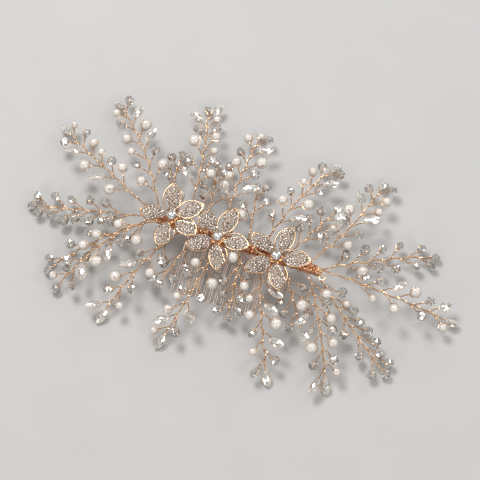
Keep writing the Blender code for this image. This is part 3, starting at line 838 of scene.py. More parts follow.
def plainWire(chains, finish, radius, sides, closed=False):
    settings = {"Wire Radius": radius * mm, "Sides": sides}
    return grown(lineObject(chains, closed), plainWires, finish, settings)


def woundWire(chains, finish, sizes):
    lengths = ("Pitch", "Spacing", "Wire Radius", "Step")
    settings = {name: size * mm if name in lengths else size for name, size in sizes.items()}
    return grown(lineObject(chains), windingWires, finish, settings)


def meshOf(name, shape):
    # the plain mesh of a bmesh, which is freed
    mesh = bpy.data.meshes.new(name)
    shape.to_mesh(mesh)
    shape.free()
    return mesh


def joined(meshes):
    shape = bmesh.new()
    for mesh in meshes:
        shape.from_mesh(mesh)
    return meshOf("joined", shape)


# Edges bent more than this stay sharp, in degrees.
sharpEdge = {"wire": 50, "round": 60, "plate": 45}


def finishPiece(name, mesh, finish, nodes, sharpAngle=None):
    # a finished piece rides on the comb's one body and stands for its CAD nodes
    mesh.name = name
    if mesh.materials:
        mesh.materials.clear()
    for look in finish if isinstance(finish, tuple) else (finish,):
        mesh.materials.append(look)
    if sharpAngle is None:
        mesh.shade_flat()
    else:
        mesh.shade_smooth()
        mesh.set_sharp_from_angle(angle=math.radians(sharpAngle))
    piece = linked(name, mesh)
    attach(piece, "root")
    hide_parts(*nodes)


def turnedShape(rings, segments):
    # Rings of height, radius and half-step about Z. Neighbours that differ by a half-step are
    # joined by triangles, which gives facets, and a ring of no radius is a point.
    shape = bmesh.new()
    rows = []
    for height, radius, half in rings:
        if radius == 0.0:
            rows.append([shape.verts.new((0.0, 0.0, height))])
            continue
        row = []
        for i in range(segments):
            angle = math.tau * (i + half / 2) / segments
            corner = (radius * math.cos(angle), radius * math.sin(angle), height)
            row.append(shape.verts.new(corner))
        rows.append(row)
    for k in range(len(rows) - 1):
        low, high = rows[k], rows[k + 1]
        for i in range(segments):
            j = (i + 1) % segments
            if len(low) == 1:
                shape.faces.new((low[0], high[i], high[j]))
            elif len(high) == 1:
                shape.faces.new((low[i], low[j], high[0]))
            elif rings[k][2] == rings[k + 1][2]:
                shape.faces.new((low[i], low[j], high[j], high[i]))
            elif rings[k][2]:
                shape.faces.new((low[i], high[j], high[i]))
                shape.faces.new((low[i], low[j], high[j]))
            else:
                shape.faces.new((low[i], low[j], high[i]))
                shape.faces.new((low[j], high[j], high[i]))
    return shape


def faceted(name, shape, seed):
    # a mesh whose faces carry a random number, which the cut stones' finish turns into painted
    # reflections: a light or dark tone for each facet
    bmesh.ops.recalc_face_normals(shape, faces=shape.faces)
    mesh = meshOf(name, shape)
    chance = random.Random(seed)
    facets = mesh.attributes.new("facet", "FLOAT", "FACE")
    facets.data.foreach_set("value", [chance.random() for _ in mesh.polygons])
    return mesh


def template(name, shape, seed):
    # a hidden bead that the trees copy
    thing = linked(name, faceted(name, shape, seed))
    thing.hide_render = True
    return thing


# Beads of radius 1.
pearl = {
    "segments": 20,
    "rings": 11,
    "holeRadius": 0.13,
    "holeDepth": 0.3,
    "holeMouth": 1.6,
    "lip": (0.985, 1.05),
}
crystal = {
    "segments": 9,
    "endRadius": 0.52,
    "endHeight": 0.92,
    "sideRadius": 1.05,
    "sideHeight": 0.34,
    "holeRadius": 0.16,
    "holeDepth": 0.8,
}
# The rings of a marquise stone and of its setting: share of the height, radius and half-step.
marquise = {
    "segments": 12,
    "settingSegments": 16,
    "pointed": 1.5,
    "height": 0.95,
    "stone": (
        (-0.7, 0.0, 0),
        (-0.6, 0.4, 0),
        (0.1, 1.0, 1),
        (0.22, 1.0, 1),
        (0.62, 0.66, 0),
        (0.95, 0.36, 1),
        (1.0, 0.0, 1),
    ),
    "setting": (
        (-1.0, 0.0, 0),
        (-1.0, 0.42, 0),
        (-0.2, 0.98, 0),
        (0.04, 1.03, 0),
        (0.08, 0.9991, 0),
        (0.0, 0.9, 0),
        (-0.3, 0.0, 0),
    ),
    # claws: across and along the stone
    "claws": ((0.0, 0.97), (0.0, -0.97), (0.8, 0.36), (0.8, -0.36), (-0.8, 0.36), (-0.8, -0.36)),
    "clawRadius": 0.27,
    "clawHeight": 0.28,
}
smallStone = {
    "segments": 6,
    "rings": (
        (-0.3, 0.0, 0),
        (-0.3, 0.6, 0),
        (0.0, 1.0, 1),
        (0.42, 0.62, 0),
        (0.55, 0.3, 1),
        (0.57, 0.0, 1),
    ),
}


def alongX(shape):
    bmesh.ops.rotate(shape, matrix=Matrix.Rotation(math.pi / 2, 3, "Y"), verts=shape.verts)
    return shape


def pearlShape():
    # a ball drilled along X
    hole = pearl["holeRadius"]
    first = math.asin(hole * pearl["holeMouth"])
    lipDepth, lipWidth = pearl["lip"]
    lip = (math.cos(first) * lipDepth, hole * lipWidth)
    deep = 1 - pearl["holeDepth"]
    rings = [(-deep, 0.0, 0), (-deep, hole, 0), (-lip[0], lip[1], 0)]
    for i in range(pearl["rings"] + 1):
        angle = first + (math.pi - 2 * first) * i / pearl["rings"]
        rings.append((-math.cos(angle), math.sin(angle), 0))
    rings += [(lip[0], lip[1], 0), (deep, hole, 0), (deep, 0.0, 0)]
    return alongX(turnedShape(rings, pearl["segments"]))


def crystalShape():
    # a cut rondelle with its axis along X
    end = crystal["endHeight"] * crystalFlat
    side = crystal["sideHeight"] * crystalFlat
    profile = (
        (end * crystal["holeDepth"], 0.0),
        (end, crystal["holeRadius"]),
        (end, crystal["endRadius"]),
        (side, crystal["sideRadius"]),
    )
    rings = [(-height, radius, half) for (height, radius), half in zip(profile, (0, 0, 0, 1))]
    rings += [(*level, half) for level, half in zip(reversed(profile), (0, 1, 1, 1))]
    return alongX(turnedShape(rings, crystal["segments"]))


def pointed(shape):
    # presses a round shape into a marquise: long along Z, front along Y
    for corner in shape.verts:
        x, y, z = corner.co
        radius = math.hypot(x, y)
        bulge = abs(y / radius) ** marquise["pointed"] if radius else 0.0
        across = math.copysign(bulge * radius, y) * beadRadius["m"]
        corner.co = (across, z, x * marquiseHalf)
    return shape


def marquiseRings(kind):
    return [(marquise["height"] * level, radius, half) for level, radius, half in marquise[kind]]


def marquiseShape():
    return pointed(turnedShape(marquiseRings("stone"), marquise["segments"]))


def settingShape():
    # a thin boat-shaped rim under the stone, with claws over its edge
    shape = pointed(turnedShape(marquiseRings("setting"), marquise["settingSegments"]))
    high = marquise["height"] * marquise["clawHeight"]
    for across, length in marquise["claws"]:
        place = Matrix.Translation((across * beadRadius["m"], high, length * marquiseHalf))
        radius = marquise["clawRadius"]
        claw = bmesh.ops.create_icosphere(shape, subdivisions=1, radius=radius)["verts"]
        bmesh.ops.transform(shape, matrix=place, verts=claw)
    return shape


def smallStoneShape():
    return turnedShape(smallStone["rings"], smallStone["segments"])


templates = {
    "pearl": template("pearlTemplate", pearlShape(), seed=3),
    "crystal": template("crystalTemplate", crystalShape(), seed=5),
    "marquise": template("marquiseTemplate", marquiseShape(), seed=8),
    "setting": template("settingTemplate", settingShape(), seed=9),
    "smallStone": template("smallStoneTemplate", smallStoneShape(), seed=12),
}
print("made", len(templates), "bead templates")


# Sprays: twisted pairs of wire, and a loop of the same wire through every bead.
sprayWire = {
    "stemRadius": 0.215,
    "twigRadius": 0.175,
    "loopRadius": 0.16,
    "loopSides": 5,
    "twist": {"Strands": 2, "Pitch": 2.0, "Step": 0.27, "Unevenness": 0.25, "Sides": 5},
    "kink": 0.28,  # how far a stem is pulled towards each twig
    "kinkWidth": 1.8,
    "smoothSteps": 5,
    "intoSpine": 7.0,
    "seed": 21,
    "pearlRoll": 48.0,
    "marquiseRoll": 12.0,
    "crystalRoll": (58.0, 22.0),
    "marquiseStop": 0.94,  # where a twig ends under a marquise stone, in shares of its half length
    "footBack": 2.6,
    "footReach": 0.05,  # how close a foot is to its own piece of stem, and how far past its end
    "footSlack": 0.001,
    "swing": 0.5,
    "sideSwing": 0.3,
    "twigSteps": 8,
    "neck": 0.4,
    "leastRun": 0.1,  # what stays of a stem's last piece, in shares of it
    # a stem whose root is this near the middle line leaves the spine at its end
    "endRoot": 3.0,
    "endLead": 0.3,
    "sideLead": 0.25,
    "sideLeadRise": 1.2,
}
# The loop round a bead, in shares of its wire where it isn't in degrees.
beadWire = {
    "neckRise": 0.2,
    "neckWidth": 0.6,
    "clear": 0.7,
    "turns": (12, 28, 44, 60, 74),
    "mouth": 1.5,
    "inHole": 0.8,
}


def smoothPath(points, steps):
    # a curve through the points, with its ends continued straight
    ends = [points[0] * 2 - points[1], *points, points[-1] * 2 - points[-2]]
    path = []
    for a, b, c, d in zip(ends, ends[1:], ends[2:], ends[3:]):
        for i in range(steps):
            t = i / steps
            linear = b * 2 + (c - a) * t
            square = (a * 2 - b * 5 + c * 4 - d) * t * t
            cube = (b * 3 - a - c * 3 + d) * t * t * t
            path.append((linear + square + cube) / 2)
    return [*path, points[-1].copy()]


def beadPlace(letter, foot, centre, hand):
    # the bead's axes: Z along its twig, X its hole, Y the front of a marquise stone
    direction = (centre - foot).normalized()
    level = up.cross(direction).normalized()
    front = direction.cross(level)
    if letter in "Cc":
        roll = hand.choice((-1, 1)) * math.radians(hand.gauss(*sprayWire["crystalRoll"]))
    else:
        variety = sprayWire["marquiseRoll" if letter == "m" else "pearlRoll"]
        roll = hand.gauss(0.0, math.radians(variety))
    turn = Matrix((level, front, direction)).transposed() @ Matrix.Rotation(roll, 3, "Z")
    return turn, direction


def beadLoop(letter, centre, turn, direction):
    # the wire from the twig round one side of the bead, through its hole and back
    radius = beadRadius[letter]
    wire = sprayWire["loopRadius"]
    width = radius * (crystalFlat * crystal["endHeight"] if letter in "Cc" else 1.0)
    axis = turn.col[0]
    tall = radius + wire * beadWire["clear"]
    wide = width + wire * beadWire["clear"]
    neck = radius + sprayWire["neck"] + beadWire["neckRise"]
    side = [(neck, wire * beadWire["neckWidth"])]
    for degrees in beadWire["turns"]:
        angle = math.radians(degrees)
        side.append((tall * math.cos(angle), wide * math.sin(angle)))
    side.append((wire * beadWire["mouth"], wide))
    side.append((0.0, width * beadWire["inHole"]))
    left = [centre - direction * back + axis * out for back, out in side]
    right = [centre - direction * back - axis * out for back, out in side]
    return [*left, *reversed(right)]


def twigPath(foot, centre, forward, stop, hand):
    # a twig leaves along its stem and runs nearly straight to its bead
    end = centre - (centre - foot).normalized() * stop
    middle = (foot + end) / 2
    sideways = forward.cross(up).normalized()
    sway = sideways * hand.uniform(-1.0, 1.0) * sprayWire["sideSwing"]
    sway = sway + up * hand.uniform(0.0, 1.0) * sprayWire["swing"]
    bend = middle + forward * sprayWire["swing"] + sway
    points = []
    for i in range(sprayWire["twigSteps"] + 1):
        t = i / sprayWire["twigSteps"]
        points.append(foot * (1 - t) ** 2 + bend * 2 * t * (1 - t) + end * t * t)
    return points


def stemPath(points, row):
    # the stem, pulled a little towards each twig and led back into the spine
    path = smoothPath(points, sprayWire["smoothSteps"])
    for _, foot, centre, forward in row:
        if forward is None:
            continue
        pull = centre - foot
        pull = (pull - forward * pull.dot(forward)).normalized() * sprayWire["kink"]
        for point in path:
            near = math.exp(-((point - foot).length / sprayWire["kinkWidth"]) ** 2)
            point += pull * near
    root = points[0]
    if abs(root.y) < sprayWire["endRoot"]:
        inward = -math.copysign(sprayWire["intoSpine"], root.x)
        out = root.y * sprayWire["endLead"]
        lead = Vector((root.x + inward, out, comb["height"] + out))
    else:
        out = root.y * sprayWire["sideLead"]
        lead = Vector((root.x, out, comb["height"] + sprayWire["sideLeadRise"]))
    return [lead, *path]


def trimmed(path, length):
    # the path without its last length
    path = list(path)
    while len(path) > 2 and (path[-1] - path[-2]).length < length:
        length -= (path[-1] - path[-2]).length
        path.pop()
    run = path[-1] - path[-2]
    path[-1] = path[-1] - run.normalized() * min(length, run.length * (1 - sprayWire["leastRun"]))
    return path


def pointObject(rows):
    # points that carry the size and turn of the bead that grows on each
    mesh = bpy.data.meshes.new("points")
    mesh.from_pydata([toFrame(centre) for centre, _, _ in rows], [], [])
    sizes = mesh.attributes.new("size", "FLOAT", "POINT")
    sizes.data.foreach_set("value", [size * mm for _, size, _ in rows])
    turns = mesh.attributes.new("turn", "FLOAT_VECTOR", "POINT")
    turns.data.foreach_set("vector", [angle for _, _, turn in rows for angle in turn.to_euler()])
    return linked("points", mesh)


def beadMesh(rows, kind, finish, seed):
    settings = {"Bead": templates[kind], "Seed": seed}
    return grown(pointObject(rows), beadsOnWires, finish, settings)


def footBehind(points, foot):
    # the place on the stem a little nearer the root than the foot
    left = sprayWire["footBack"]
    for k, (start, end) in reversed(list(enumerate(zip(points, points[1:])))):
        run = end - start
        share = (foot - start).dot(run) / run.length_squared
        near = (start.lerp(end, share) - foot).length <= sprayWire["footReach"]
        if not near or not 0.0 <= share <= 1 + sprayWire["footSlack"]:
            continue
        here = foot
        for corner in reversed(points[: k + 1]):
            gap = (here - corner).length
            if gap >= left:
                return here.lerp(corner, left / gap)
            left -= gap
            here = corner
        return here
    return foot


def addSpray(name, points, row, seed):
    hand = random.Random(seed)
    twisted = []
    loops = []
    rows = {"pearl": [], "crystal": [], "marquise": []}
    stem = stemPath(points, row)
    for letter, foot, centre, forward in row:
        turn, direction = beadPlace(letter, foot, centre, hand)
        size = beadRadius[letter]
        if letter == "m":
            rows["marquise"].append((centre, 1.0, turn))
            stop = marquiseHalf * sprayWire["marquiseStop"]
        else:
            rows["crystal" if letter in "Cc" else "pearl"].append((centre, size, turn))
            loops.append(beadLoop(letter, centre, turn, direction))
            stop = size + sprayWire["neck"]
        if forward is None:
            stem = trimmed(stem, stop)
        else:
            back = footBehind(points, foot)
            twisted.append(twigPath(back, centre, forward, stop, hand))
    wires = []
    for chains, key in ((twisted, "twigRadius"), ([stem], "stemRadius")):
        radius = {"Spacing": sprayWire[key], "Wire Radius": sprayWire[key]}
        if chains:
            wires.append(woundWire(chains, wireGold, {**sprayWire["twist"], **radius}))
    if loops:
        radius, sides = sprayWire["loopRadius"], sprayWire["loopSides"]
        wires.append(plainWire(loops, wireGold, radius, sides))
    if rows["marquise"]:
        wires.append(beadMesh(rows["marquise"], "setting", wireGold, seed))
    mesh = joined(wires)
    finishPiece(name + "_wires", mesh, wireGold, [name], sharpEdge["wire"])
    for kind, finish, slot, sharp in (
        ("pearl", nacre, "ivory_pearl", sharpEdge["round"]),
        ("crystal", cutCrystal, "clear_crystal", None),
        ("marquise", foiledStone, "clear_crystal", None),
    ):
        if rows[kind]:
            mesh = beadMesh(rows[kind], kind, finish, seed)
            finishPiece(f"{name}_{kind}s", mesh, finish, [name], sharp)


for number, (name, points) in enumerate(stems.items()):
    addSpray(name, points, beads[name], sprayWire["seed"] + number)
print("made", len(stems), "sprays and single pearls")


# The spine: stems bundled together, a close winding, and a second loose one across it.
spine = {
    "bundleOverlap": 1.5,
    "closeEnds": (-33.5, 37.2),
    "looseEnds": (-29.0, 36.0),
    "lineSteps": 60,
    "windingSteps": 13,  # points in one turn, but none further apart than the longest step
    "longestStep": 0.2,
    "bundle": {
        "Strands": 7,
        "Pitch": 46.0,
        "Spacing": 1.25,
        "Wire Radius": 0.5,
        "Step": 1.2,
        "Unevenness": 0.1,
        "Sides": 8,
    },
    "close": {"Pitch": 0.66, "Spacing": 1.95, "Wire Radius": 0.31, "Unevenness": 0.06},
    "loose": {"Pitch": 3.7, "Spacing": 2.42, "Wire Radius": 0.28, "Unevenness": 0.16},
    "windingSides": 6,
}
# The small open loop in which the wire ends, beyond the right end of the spine.
endLoop = {
    "centre": (40.4, -2.4, 9.4),
    "radius": 1.25,
    "wire": 0.26,
    "sides": 6,
    "lead": (-3.4, 0.6, 9.0),
    "start": 125,
    "turn": 22,
    "points": 17,
    "rise": 0.04,
}


def spineLine(low, high):
    count = spine["lineSteps"]
    run = high - low
    return [Vector((low + run * i / count, 0.0, comb["height"])) for i in range(count + 1)]


def addSpine():
    low, high = comb["ends"]
    line = spineLine(low - spine["bundleOverlap"], high + spine["bundleOverlap"])
    bundle = woundWire([line], wireGold, spine["bundle"])
    x, y, z = endLoop["centre"]
    back, side, height = endLoop["lead"]
    ring = [(x + back, side, height)]
    for i in range(endLoop["points"]):
        angle = math.radians(endLoop["start"] + endLoop["turn"] * i)
        right, away = math.cos(angle) * endLoop["radius"], math.sin(angle) * endLoop["radius"]
        ring.append((x + right, y + away, z + i * endLoop["rise"]))
    loop = plainWire([ring], wireGold, endLoop["wire"], endLoop["sides"])
    mesh = joined([bundle, loop])
    nodes = ["comb_spine"]
    finishPiece("spineBundle", mesh, wireGold, nodes, sharpEdge["wire"])


def addWinding(kind):
    step = min(spine[kind]["Pitch"] / spine["windingSteps"], spine["longestStep"])
    sizes = {**spine[kind], "Strands": 1, "Step": step, "Sides": spine["windingSides"]}
    mesh = woundWire([spineLine(*spine[kind + "Ends"])], windingCopper, sizes)
    nodes = ["wrap_left", "wrap_middle", "wrap_right"]
    look = windingCopper
    finishPiece(kind + "Winding", mesh, look, nodes, sharpEdge["wire"])


addSpine()
addWinding("close")
addWinding("loose")
print("wound the spine")


# Teeth: hairpins whose two legs wander together and apart.
tooth = {
    "wire": 0.24,
    "halfWidth": 0.5,
    "steps": 26,
    "pinch": 0.2,
    "pinchAt": (0.35, 0.65),
    "pinchShare": (0.3, 1.0),
    "pinchLength": 0.22,
    "closest": 1.02,  # the legs' half distance, in radii
    "wander": 0.06,
    "swing": 2,  # the slow sway and the quick ripple, in shares of the wander
    "ripple": 0.4,
    "ripples": 9,
    "bend": (30, 60, 90, 120, 150),
    "back": 2.2,  # how far the legs reach back under the winding
    "drop": 0.1,
    "sides": 8,
    "seed": 4,
}


def addTooth(name, x, hand):
    arc = toothArc(tooth["steps"])
    pinchAt = hand.uniform(*tooth["pinchAt"])
    pinch = hand.uniform(*tooth["pinchShare"]) * tooth["pinch"]
    sway = hand.uniform(-1.0, 1.0) * tooth["wander"] * tooth["swing"]
    ripple = tooth["wander"] * tooth["ripple"]
    left = []
    right = []
    for i, (y, z) in enumerate(arc):
        t = i / tooth["steps"]
        close = pinch * math.exp(-(((t - pinchAt) / tooth["pinchLength"]) ** 2))
        half = max(tooth["wire"] * tooth["closest"], tooth["halfWidth"] - close)
        drift = sway * math.sin(math.pi * t) + ripple * math.sin(tooth["ripples"] * t + x)
        left.append(Vector((x + drift - half, y, z)))
        right.append(Vector((x + drift + half, y, z)))
    tip, before = Vector(arc[-1]), Vector(arc[-2])
    slope = (tip - before).normalized()
    bend = []
    for degrees in tooth["bend"]:
        angle = math.radians(degrees)
        out = tooth["halfWidth"] * math.sin(angle)
        side = x - tooth["halfWidth"] * math.cos(angle)
        bend.append(Vector((side, tip.x + slope.x * out, tip.y + slope.y * out)))
    y, z = arc[0]
    ends = [Vector((leg[0].x, y + tooth["back"], z - tooth["drop"])) for leg in (left, right)]
    path = [ends[0], *left, *bend, *reversed(right), ends[1]]
    mesh = plainWire([path], toothWire, tooth["wire"], tooth["sides"])
    finishPiece(name + "_hairpin", mesh, toothWire, [name], sharpEdge["round"])


hand = random.Random(tooth["seed"])
for i, x in enumerate(toothPlaces()):
    addTooth(f"tooth_{i + 1:02d}", x, hand)
print("made", comb["toothCount"], "teeth")


# Flowers: an outline wire round each petal, a domed plate set with stones, a hub and a heart.
bloom = {
    "frameWire": 0.3,
    "frameSides": 8,
    "frameSteps": 26,
    "frameStart": 1.5,
    "frameDrop": 1.25,
    "frameRise": 2.4,
    "fullness": 0.75,
    "plateStart": 2.1,
    "plateShorter": 0.3,
    "plateSteps": 16,
    "plateRows": 8,
    "inset": 0.16,
    "gap": 1.9,
    "gapEnd": 0.72,
    "gapShape": 0.8,
    "rootTaper": 5,
    "tipTaper": 9,
    "leastHalf": 0.1,
    "edgeHalf": 0.03,
    "dome": 0.55,
    "domeShape": 0.6,
    "underDome": 0.4,
    "thickness": 0.34,
    "rimWire": 0.15,
    "rimSides": 6,
    "rimSteps": 24,
    "rimLift": 0.05,
    "stoneRadius": 0.5,
    "stoneSpacing": 0.98,
    "stoneLean": (0.4, 0.4, 1.57),
    "density": 2.0e7,
    "seed": 5,
}
# The hub under the petals: rings of height, radius and half-step, and a tongue under every petal.
boss = {
    "segments": 40,
    "foot": 2.0,  # above the middle of the spine
    "footRadius": 1.2,
    "rings": (
        (-2.2, 1.1, 0),
        (-1.7, 2.1, 0),
        (-1.1, 2.5, 0),
        (-0.5, 2.55, 0),
        (0.1, 2.2, 0),
        (0.45, 1.5, 0),
        (0.55, 0.0, 0),
    ),
    "tongue": 0.34,
    "tongueSharpness": 6,
    "tonguesAbove": -2,
}
# The heart of a flower. Its cup's wall is measured from the girdle and the cup's radius, the lip
# from the stone's radius. Claws are points out from the middle and up, and rings of the stone are
# in shares of its radius.
heart = {
    "stoneRadius": 2.15,
    "cupRadius": 2.1,
    "girdle": 2.3,
    "cupSegments": 28,
    "cupFoot": ((0.4, 0.0, 0), (0.4, 1.5, 0), (0.7, 1.5, 0)),
    "cupWall": ((-0.35, -0.05), (-0.12, 0.12), (0.02, 0.05)),
    "cupLip": (-0.15, -0.25),
    "cupFloor": -1.0,
    "claws": 4,
    "clawWire": 0.26,
    "clawSides": 8,
    "claw": ((1.5, 0.6), (1.95, 1.3), (2.25, 2.0), (2.24, 2.5), (1.98, 2.72), (1.62, 2.74)),
    "stoneSegments": 8,
    "seed": 15,
    "under": ((-0.9, 0.0, 0), (-0.3, 0.8, 0)),
    "crownHeight": 0.8,
    "crown": (
        (0.0, 1.0, 1),
        (0.08, 1.0, 1),
        (0.30, 0.82, 0),
        (0.50, 0.50, 1),
        (0.56, 0.26, 0),
        (0.60, 0.0, 0),
    ),
}


def leaf(start, length, upper, lower, fullness, steps):
    # a pointed leaf along X, counter-clockwise, with its own width on each side
    span = length - start
    swell = [math.sin(math.pi * i / steps) ** fullness for i in range(1, steps)]
    places = [start + span * i / steps for i in range(1, steps)]
    lowerEdge = [(x, -lower * s) for x, s in zip(places, swell)]
    upperEdge = [(x, upper * s) for x, s in zip(places, swell)]
    return [(start, 0.0), *lowerEdge, (length, 0.0), *reversed(upperEdge)]


def frameWidth(x, length):
    # how full the outline wire is at x, from 0 at its ends to 1
    t = (x - bloom["frameStart"]) / (length - bloom["frameStart"])
    return math.sin(math.pi * min(1.0, max(0.0, t))) ** bloom["fullness"]


def plateEdges(t, length):
    # The plate lies along the near wire and leaves a crescent before the far one.
    start, end = bloom["plateStart"], length - bloom["plateShorter"]
    x = start + (end - start) * t
    full = frameWidth(x, length)
    near = -petal["nearEdge"] * full + bloom["inset"]
    u = min(1.0, (x - bloom["frameStart"]) / (bloom["gapEnd"] * length - bloom["frameStart"]))
    gap = bloom["gap"] * math.sin(math.pi * u) ** bloom["gapShape"]
    far = petal["farEdge"] * full - bloom["inset"] - gap
    middle = (near + far) / 2
    taper = min(1.0, t * bloom["rootTaper"], (1 - t) * bloom["tipTaper"])
    half = max((far - near) / 2, bloom["leastHalf"]) * taper + bloom["edgeHalf"]
    return x, middle - half, middle + half


def plateShape(shape, place, length):
    # The domed plate: top faces first, then its edge and underside. Returns the top's faces.
    steps, rows = bloom["plateSteps"], bloom["plateRows"]
    top = []
    bottom = []
    for i in range(steps + 1):
        t = i / steps
        swell = math.sin(math.pi * t) ** bloom["domeShape"]
        x, near, far = plateEdges(t, length)
        upperRow = []
        lowerRow = []
        for j in range(rows + 1):
            v = j / rows * 2 - 1
            rise = bloom["dome"] * (1 - v * v) * swell
            under = rise * bloom["underDome"] - bloom["thickness"]
            across = near + (far - near) * (v + 1) / 2
            for row, height in ((upperRow, rise), (lowerRow, under)):
                row.append(shape.verts.new(toFrame(place @ Vector((x, across, height)))))
        top.append(upperRow)
        bottom.append(lowerRow)
    faces = []
    for i in range(steps):
        for j in range(rows):
            k, m = i + 1, j + 1
            faces.append(shape.faces.new((top[i][j], top[k][j], top[k][m], top[i][m])))
            shape.faces.new((bottom[i][m], bottom[k][m], bottom[k][j], bottom[i][j]))
    border = [(i, 0) for i in range(steps)] + [(steps, j) for j in range(rows)]
    border += [(i, rows) for i in range(steps, 0, -1)] + [(0, j) for j in range(rows, 0, -1)]
    for (i0, j0), (i1, j1) in zip(border, border[1:] + border[:1]):
        shape.faces.new((top[i0][j0], bottom[i0][j0], bottom[i1][j1], top[i1][j1]))
    return faces


def addPlates(flower):
    # the plates' tops take the seat finish, and stones grow on them
    shape = bmesh.new()
    edges = []
    tops = []
    for heading, length in flowers[flower][1]:
        place = petalFrame(flower, heading)
        tops += plateShape(shape, place, length)
        count = bloom["rimSteps"]
        sides = [plateEdges(i / count, length) for i in range(count + 1)]
        outline = [(x, near) for x, near, _ in sides]
        outline += [(x, far) for x, _, far in reversed(sides)]
        edges.append([place @ Vector((x, y, bloom["rimLift"])) for x, y in outline])
    for face in tops:
        face.material_index = 1
    body = bpy.data.meshes.new("plates")
    shape.to_mesh(body)
    for face in [face for face in shape.faces if face.material_index == 0]:
        shape.faces.remove(face)
    field = meshOf("field", shape)
    rim = plainWire(edges, flowerGold, bloom["rimWire"], bloom["rimSides"], closed=True)
    plates = joined([body, rim])
    look = (flowerGold, stoneSeat)
    nodes = [flower + "_pave"]
    finishPiece(flower + "_plates", plates, look, nodes, sharpEdge["plate"])
    settings = {
        "Stone": templates["smallStone"],
        "Spacing": bloom["stoneSpacing"] * mm,
        "Density": bloom["density"],
        "Size": bloom["stoneRadius"] * mm,
        "Lean": bloom["stoneLean"],
        "Seed": bloom["seed"],
    }
    stones = grown(linked("field", field), paveStones, paveStone, settings)
    finishPiece(flower + "_stones", stones, paveStone, nodes)


def turnedMesh(name, shape, middle):
    # the mesh of a turned shape that stands at a flower's middle
    bmesh.ops.recalc_face_normals(shape, faces=shape.faces)
    for corner in shape.verts:
        corner.co = toFrame(corner.co + middle)
    return meshOf(name, shape)


def addFrame(flower):
    # the outline wires, falling to the hub, and the domed hub with a tongue under every petal
    middle, petals = flowers[flower]
    loops = []
    start, fullness = bloom["frameStart"], bloom["fullness"]
    far, near = petal["farEdge"], petal["nearEdge"]
    for heading, length in petals:
        place = petalFrame(flower, heading)
        points = []
        for x, y in leaf(start, length, far, near, fullness, bloom["frameSteps"]):
            rise = min(1.0, max(0.0, (x - petal["hubRadius"]) / bloom["frameRise"]))
            rise = rise * rise * (3 - 2 * rise)
            points.append(place @ Vector((x, y, -bloom["frameDrop"] * (1 - rise))))
        loops.append(points)
    wires = plainWire(loops, flowerGold, bloom["frameWire"], bloom["frameSides"], closed=True)
    middle = Vector(middle)
    foot = comb["height"] + boss["foot"] - middle.z
    rings = ((foot, 0.0, 0), (foot, boss["footRadius"], 0), *boss["rings"])
    shape = turnedShape(rings, boss["segments"])
    ways = [math.radians(heading) for heading, _ in petals]
    sharp = boss["tongueSharpness"]
    for corner in shape.verts:
        angle = math.atan2(corner.co.y, corner.co.x)
        nearest = max(math.cos(angle - way) for way in ways)
        wide = 1.0 + boss["tongue"] * max(0.0, nearest * sharp - (sharp - 1))
        if corner.co.z > boss["tonguesAbove"]:
            corner.co.x *= wide
            corner.co.y *= wide
    for face in shape.faces:
        face.material_index = 1
    mesh = joined([wires, turnedMesh("hub", shape, middle)])
    look = (flowerGold, hubGold)
    nodes = [flower + "_frame"]
    finishPiece(flower + "_outlines", mesh, look, nodes, sharpEdge["wire"])


def addHeart(flower):
    # a cup whose claws bend over the rim of a round brilliant
    middle = Vector(flowers[flower][0])
    girdle, radius = heart["girdle"], heart["stoneRadius"]
    rings = list(heart["cupFoot"])
    rings += [(girdle + high, heart["cupRadius"] + out, 0) for high, out in heart["cupWall"]]
    high, out = heart["cupLip"]
    rings += [(girdle + high, radius + out, 0), (girdle + heart["cupFloor"], 0.0, 0)]
    cup = turnedMesh("cup", turnedShape(rings, heart["cupSegments"]), middle)
    claws = []
    for i in range(heart["claws"]):
        angle = math.pi * (i + 0.5) / 2
        way = Vector((math.cos(angle), math.sin(angle), 0.0))
        claws.append([middle + way * out + up * high for out, high in heart["claw"]])
    prongs = plainWire(claws, flowerGold, heart["clawWire"], heart["clawSides"])
    mesh = joined([cup, prongs])
    nodes = [flower + "_cup"]
    finishPiece(flower + "_claws", mesh, flowerGold, nodes, sharpEdge["wire"])
    rings = [(high + girdle, out * radius, half) for high, out, half in heart["under"]]
    tall = heart["crownHeight"]
    for high, out, half in heart["crown"]:
        rings.append((high * radius * tall + girdle, out * radius, half))
    gem = faceted(flower + "_gem", turnedShape(rings, heart["stoneSegments"]), heart["seed"])
    gem.transform(Matrix.Translation(toFrame(middle)) @ Matrix.Scale(mm, 4))
    finishPiece(flower + "_brilliant", gem, brilliantStone, [flower + "_stone"])


for flower in flowers:
    addFrame(flower)
    addPlates(flower)
    addHeart(flower)
print("made", len(flowers), "flowers")

for thing in templates.values():
    bpy.data.objects.remove(thing)


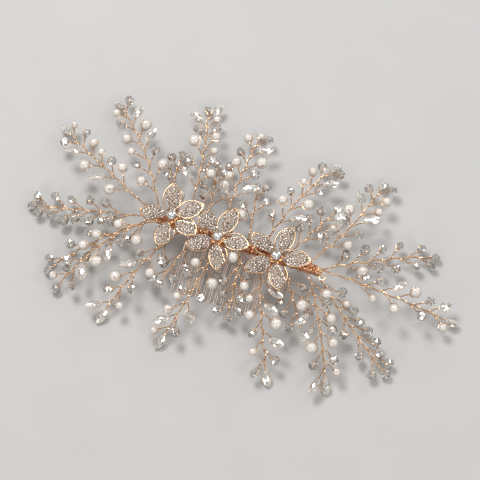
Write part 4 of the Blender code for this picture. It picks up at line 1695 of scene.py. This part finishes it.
# The studio: a pale floor, soft lights and the camera.
studio = {
    "azimuth": 20.0,
    "elevation": 65.0,
    "distance": 0.75,
    "lens": 135.0,
    "target": (2.5, 2.8, 8.0),
    "floorHalf": 1.6,
    "sky": 0.40,
    "nearest": 0.01,
}
# Area lamps that face the comb: name, place, size and power.
lamps = (
    ("keyLamp", (-0.40, 0.30, 0.80), 0.30, 5.2),
    ("fillLamp", (0.75, -0.35, 0.60), 0.50, 2.2),
    ("frontLamp", (-0.25, -0.90, 0.50), 0.40, 1.8),
    ("topLamp", (0.15, 0.10, 1.05), 0.35, 1.4),
    ("backLamp", (0.35, 0.85, 0.45), 0.40, 1.6),
)


def addStudio():
    half = studio["floorHalf"]
    mesh = bpy.data.meshes.new("studioFloor")
    corners = [(x * half, y * half, 0.0) for x, y in ((-1, -1), (1, -1), (1, 1), (-1, 1))]
    mesh.from_pydata(corners, [], [range(4)])
    mesh.materials.append(floorFinish())
    linked("studioFloor", mesh)
    world = bpy.data.worlds.new("studioAir")
    world.use_nodes = True
    bpy.context.scene.world = world
    air = world.node_tree.nodes["Background"]
    air.inputs["Color"].default_value = (1.0, 1.0, 1.0, 1.0)
    air.inputs["Strength"].default_value = studio["sky"]
    bpy.context.scene.view_settings.view_transform = "Standard"
    for name, place, size, power in lamps:
        lamp = bpy.data.lights.new(name, "AREA")
        lamp.size = size
        lamp.energy = power
        thing = linked(name, lamp)
        thing.location = place
        thing.rotation_euler = (-Vector(place)).to_track_quat("-Z", "Y").to_euler()


def addCamera():
    azimuth = math.radians(studio["azimuth"])
    elevation = math.radians(studio["elevation"])
    level = math.cos(elevation)
    back = Vector((math.sin(azimuth) * level, -math.cos(azimuth) * level, math.sin(elevation)))
    camera = bpy.data.cameras.new("studioCamera")
    camera.lens = studio["lens"]
    camera.clip_start = studio["nearest"]
    thing = linked("studioCamera", camera)
    thing.location = toFrame(studio["target"]) + back * studio["distance"]
    thing.rotation_euler = (-back).to_track_quat("-Z", "Y").to_euler()
    bpy.context.scene.camera = thing


addStudio()
addCamera()
print("set the studio")
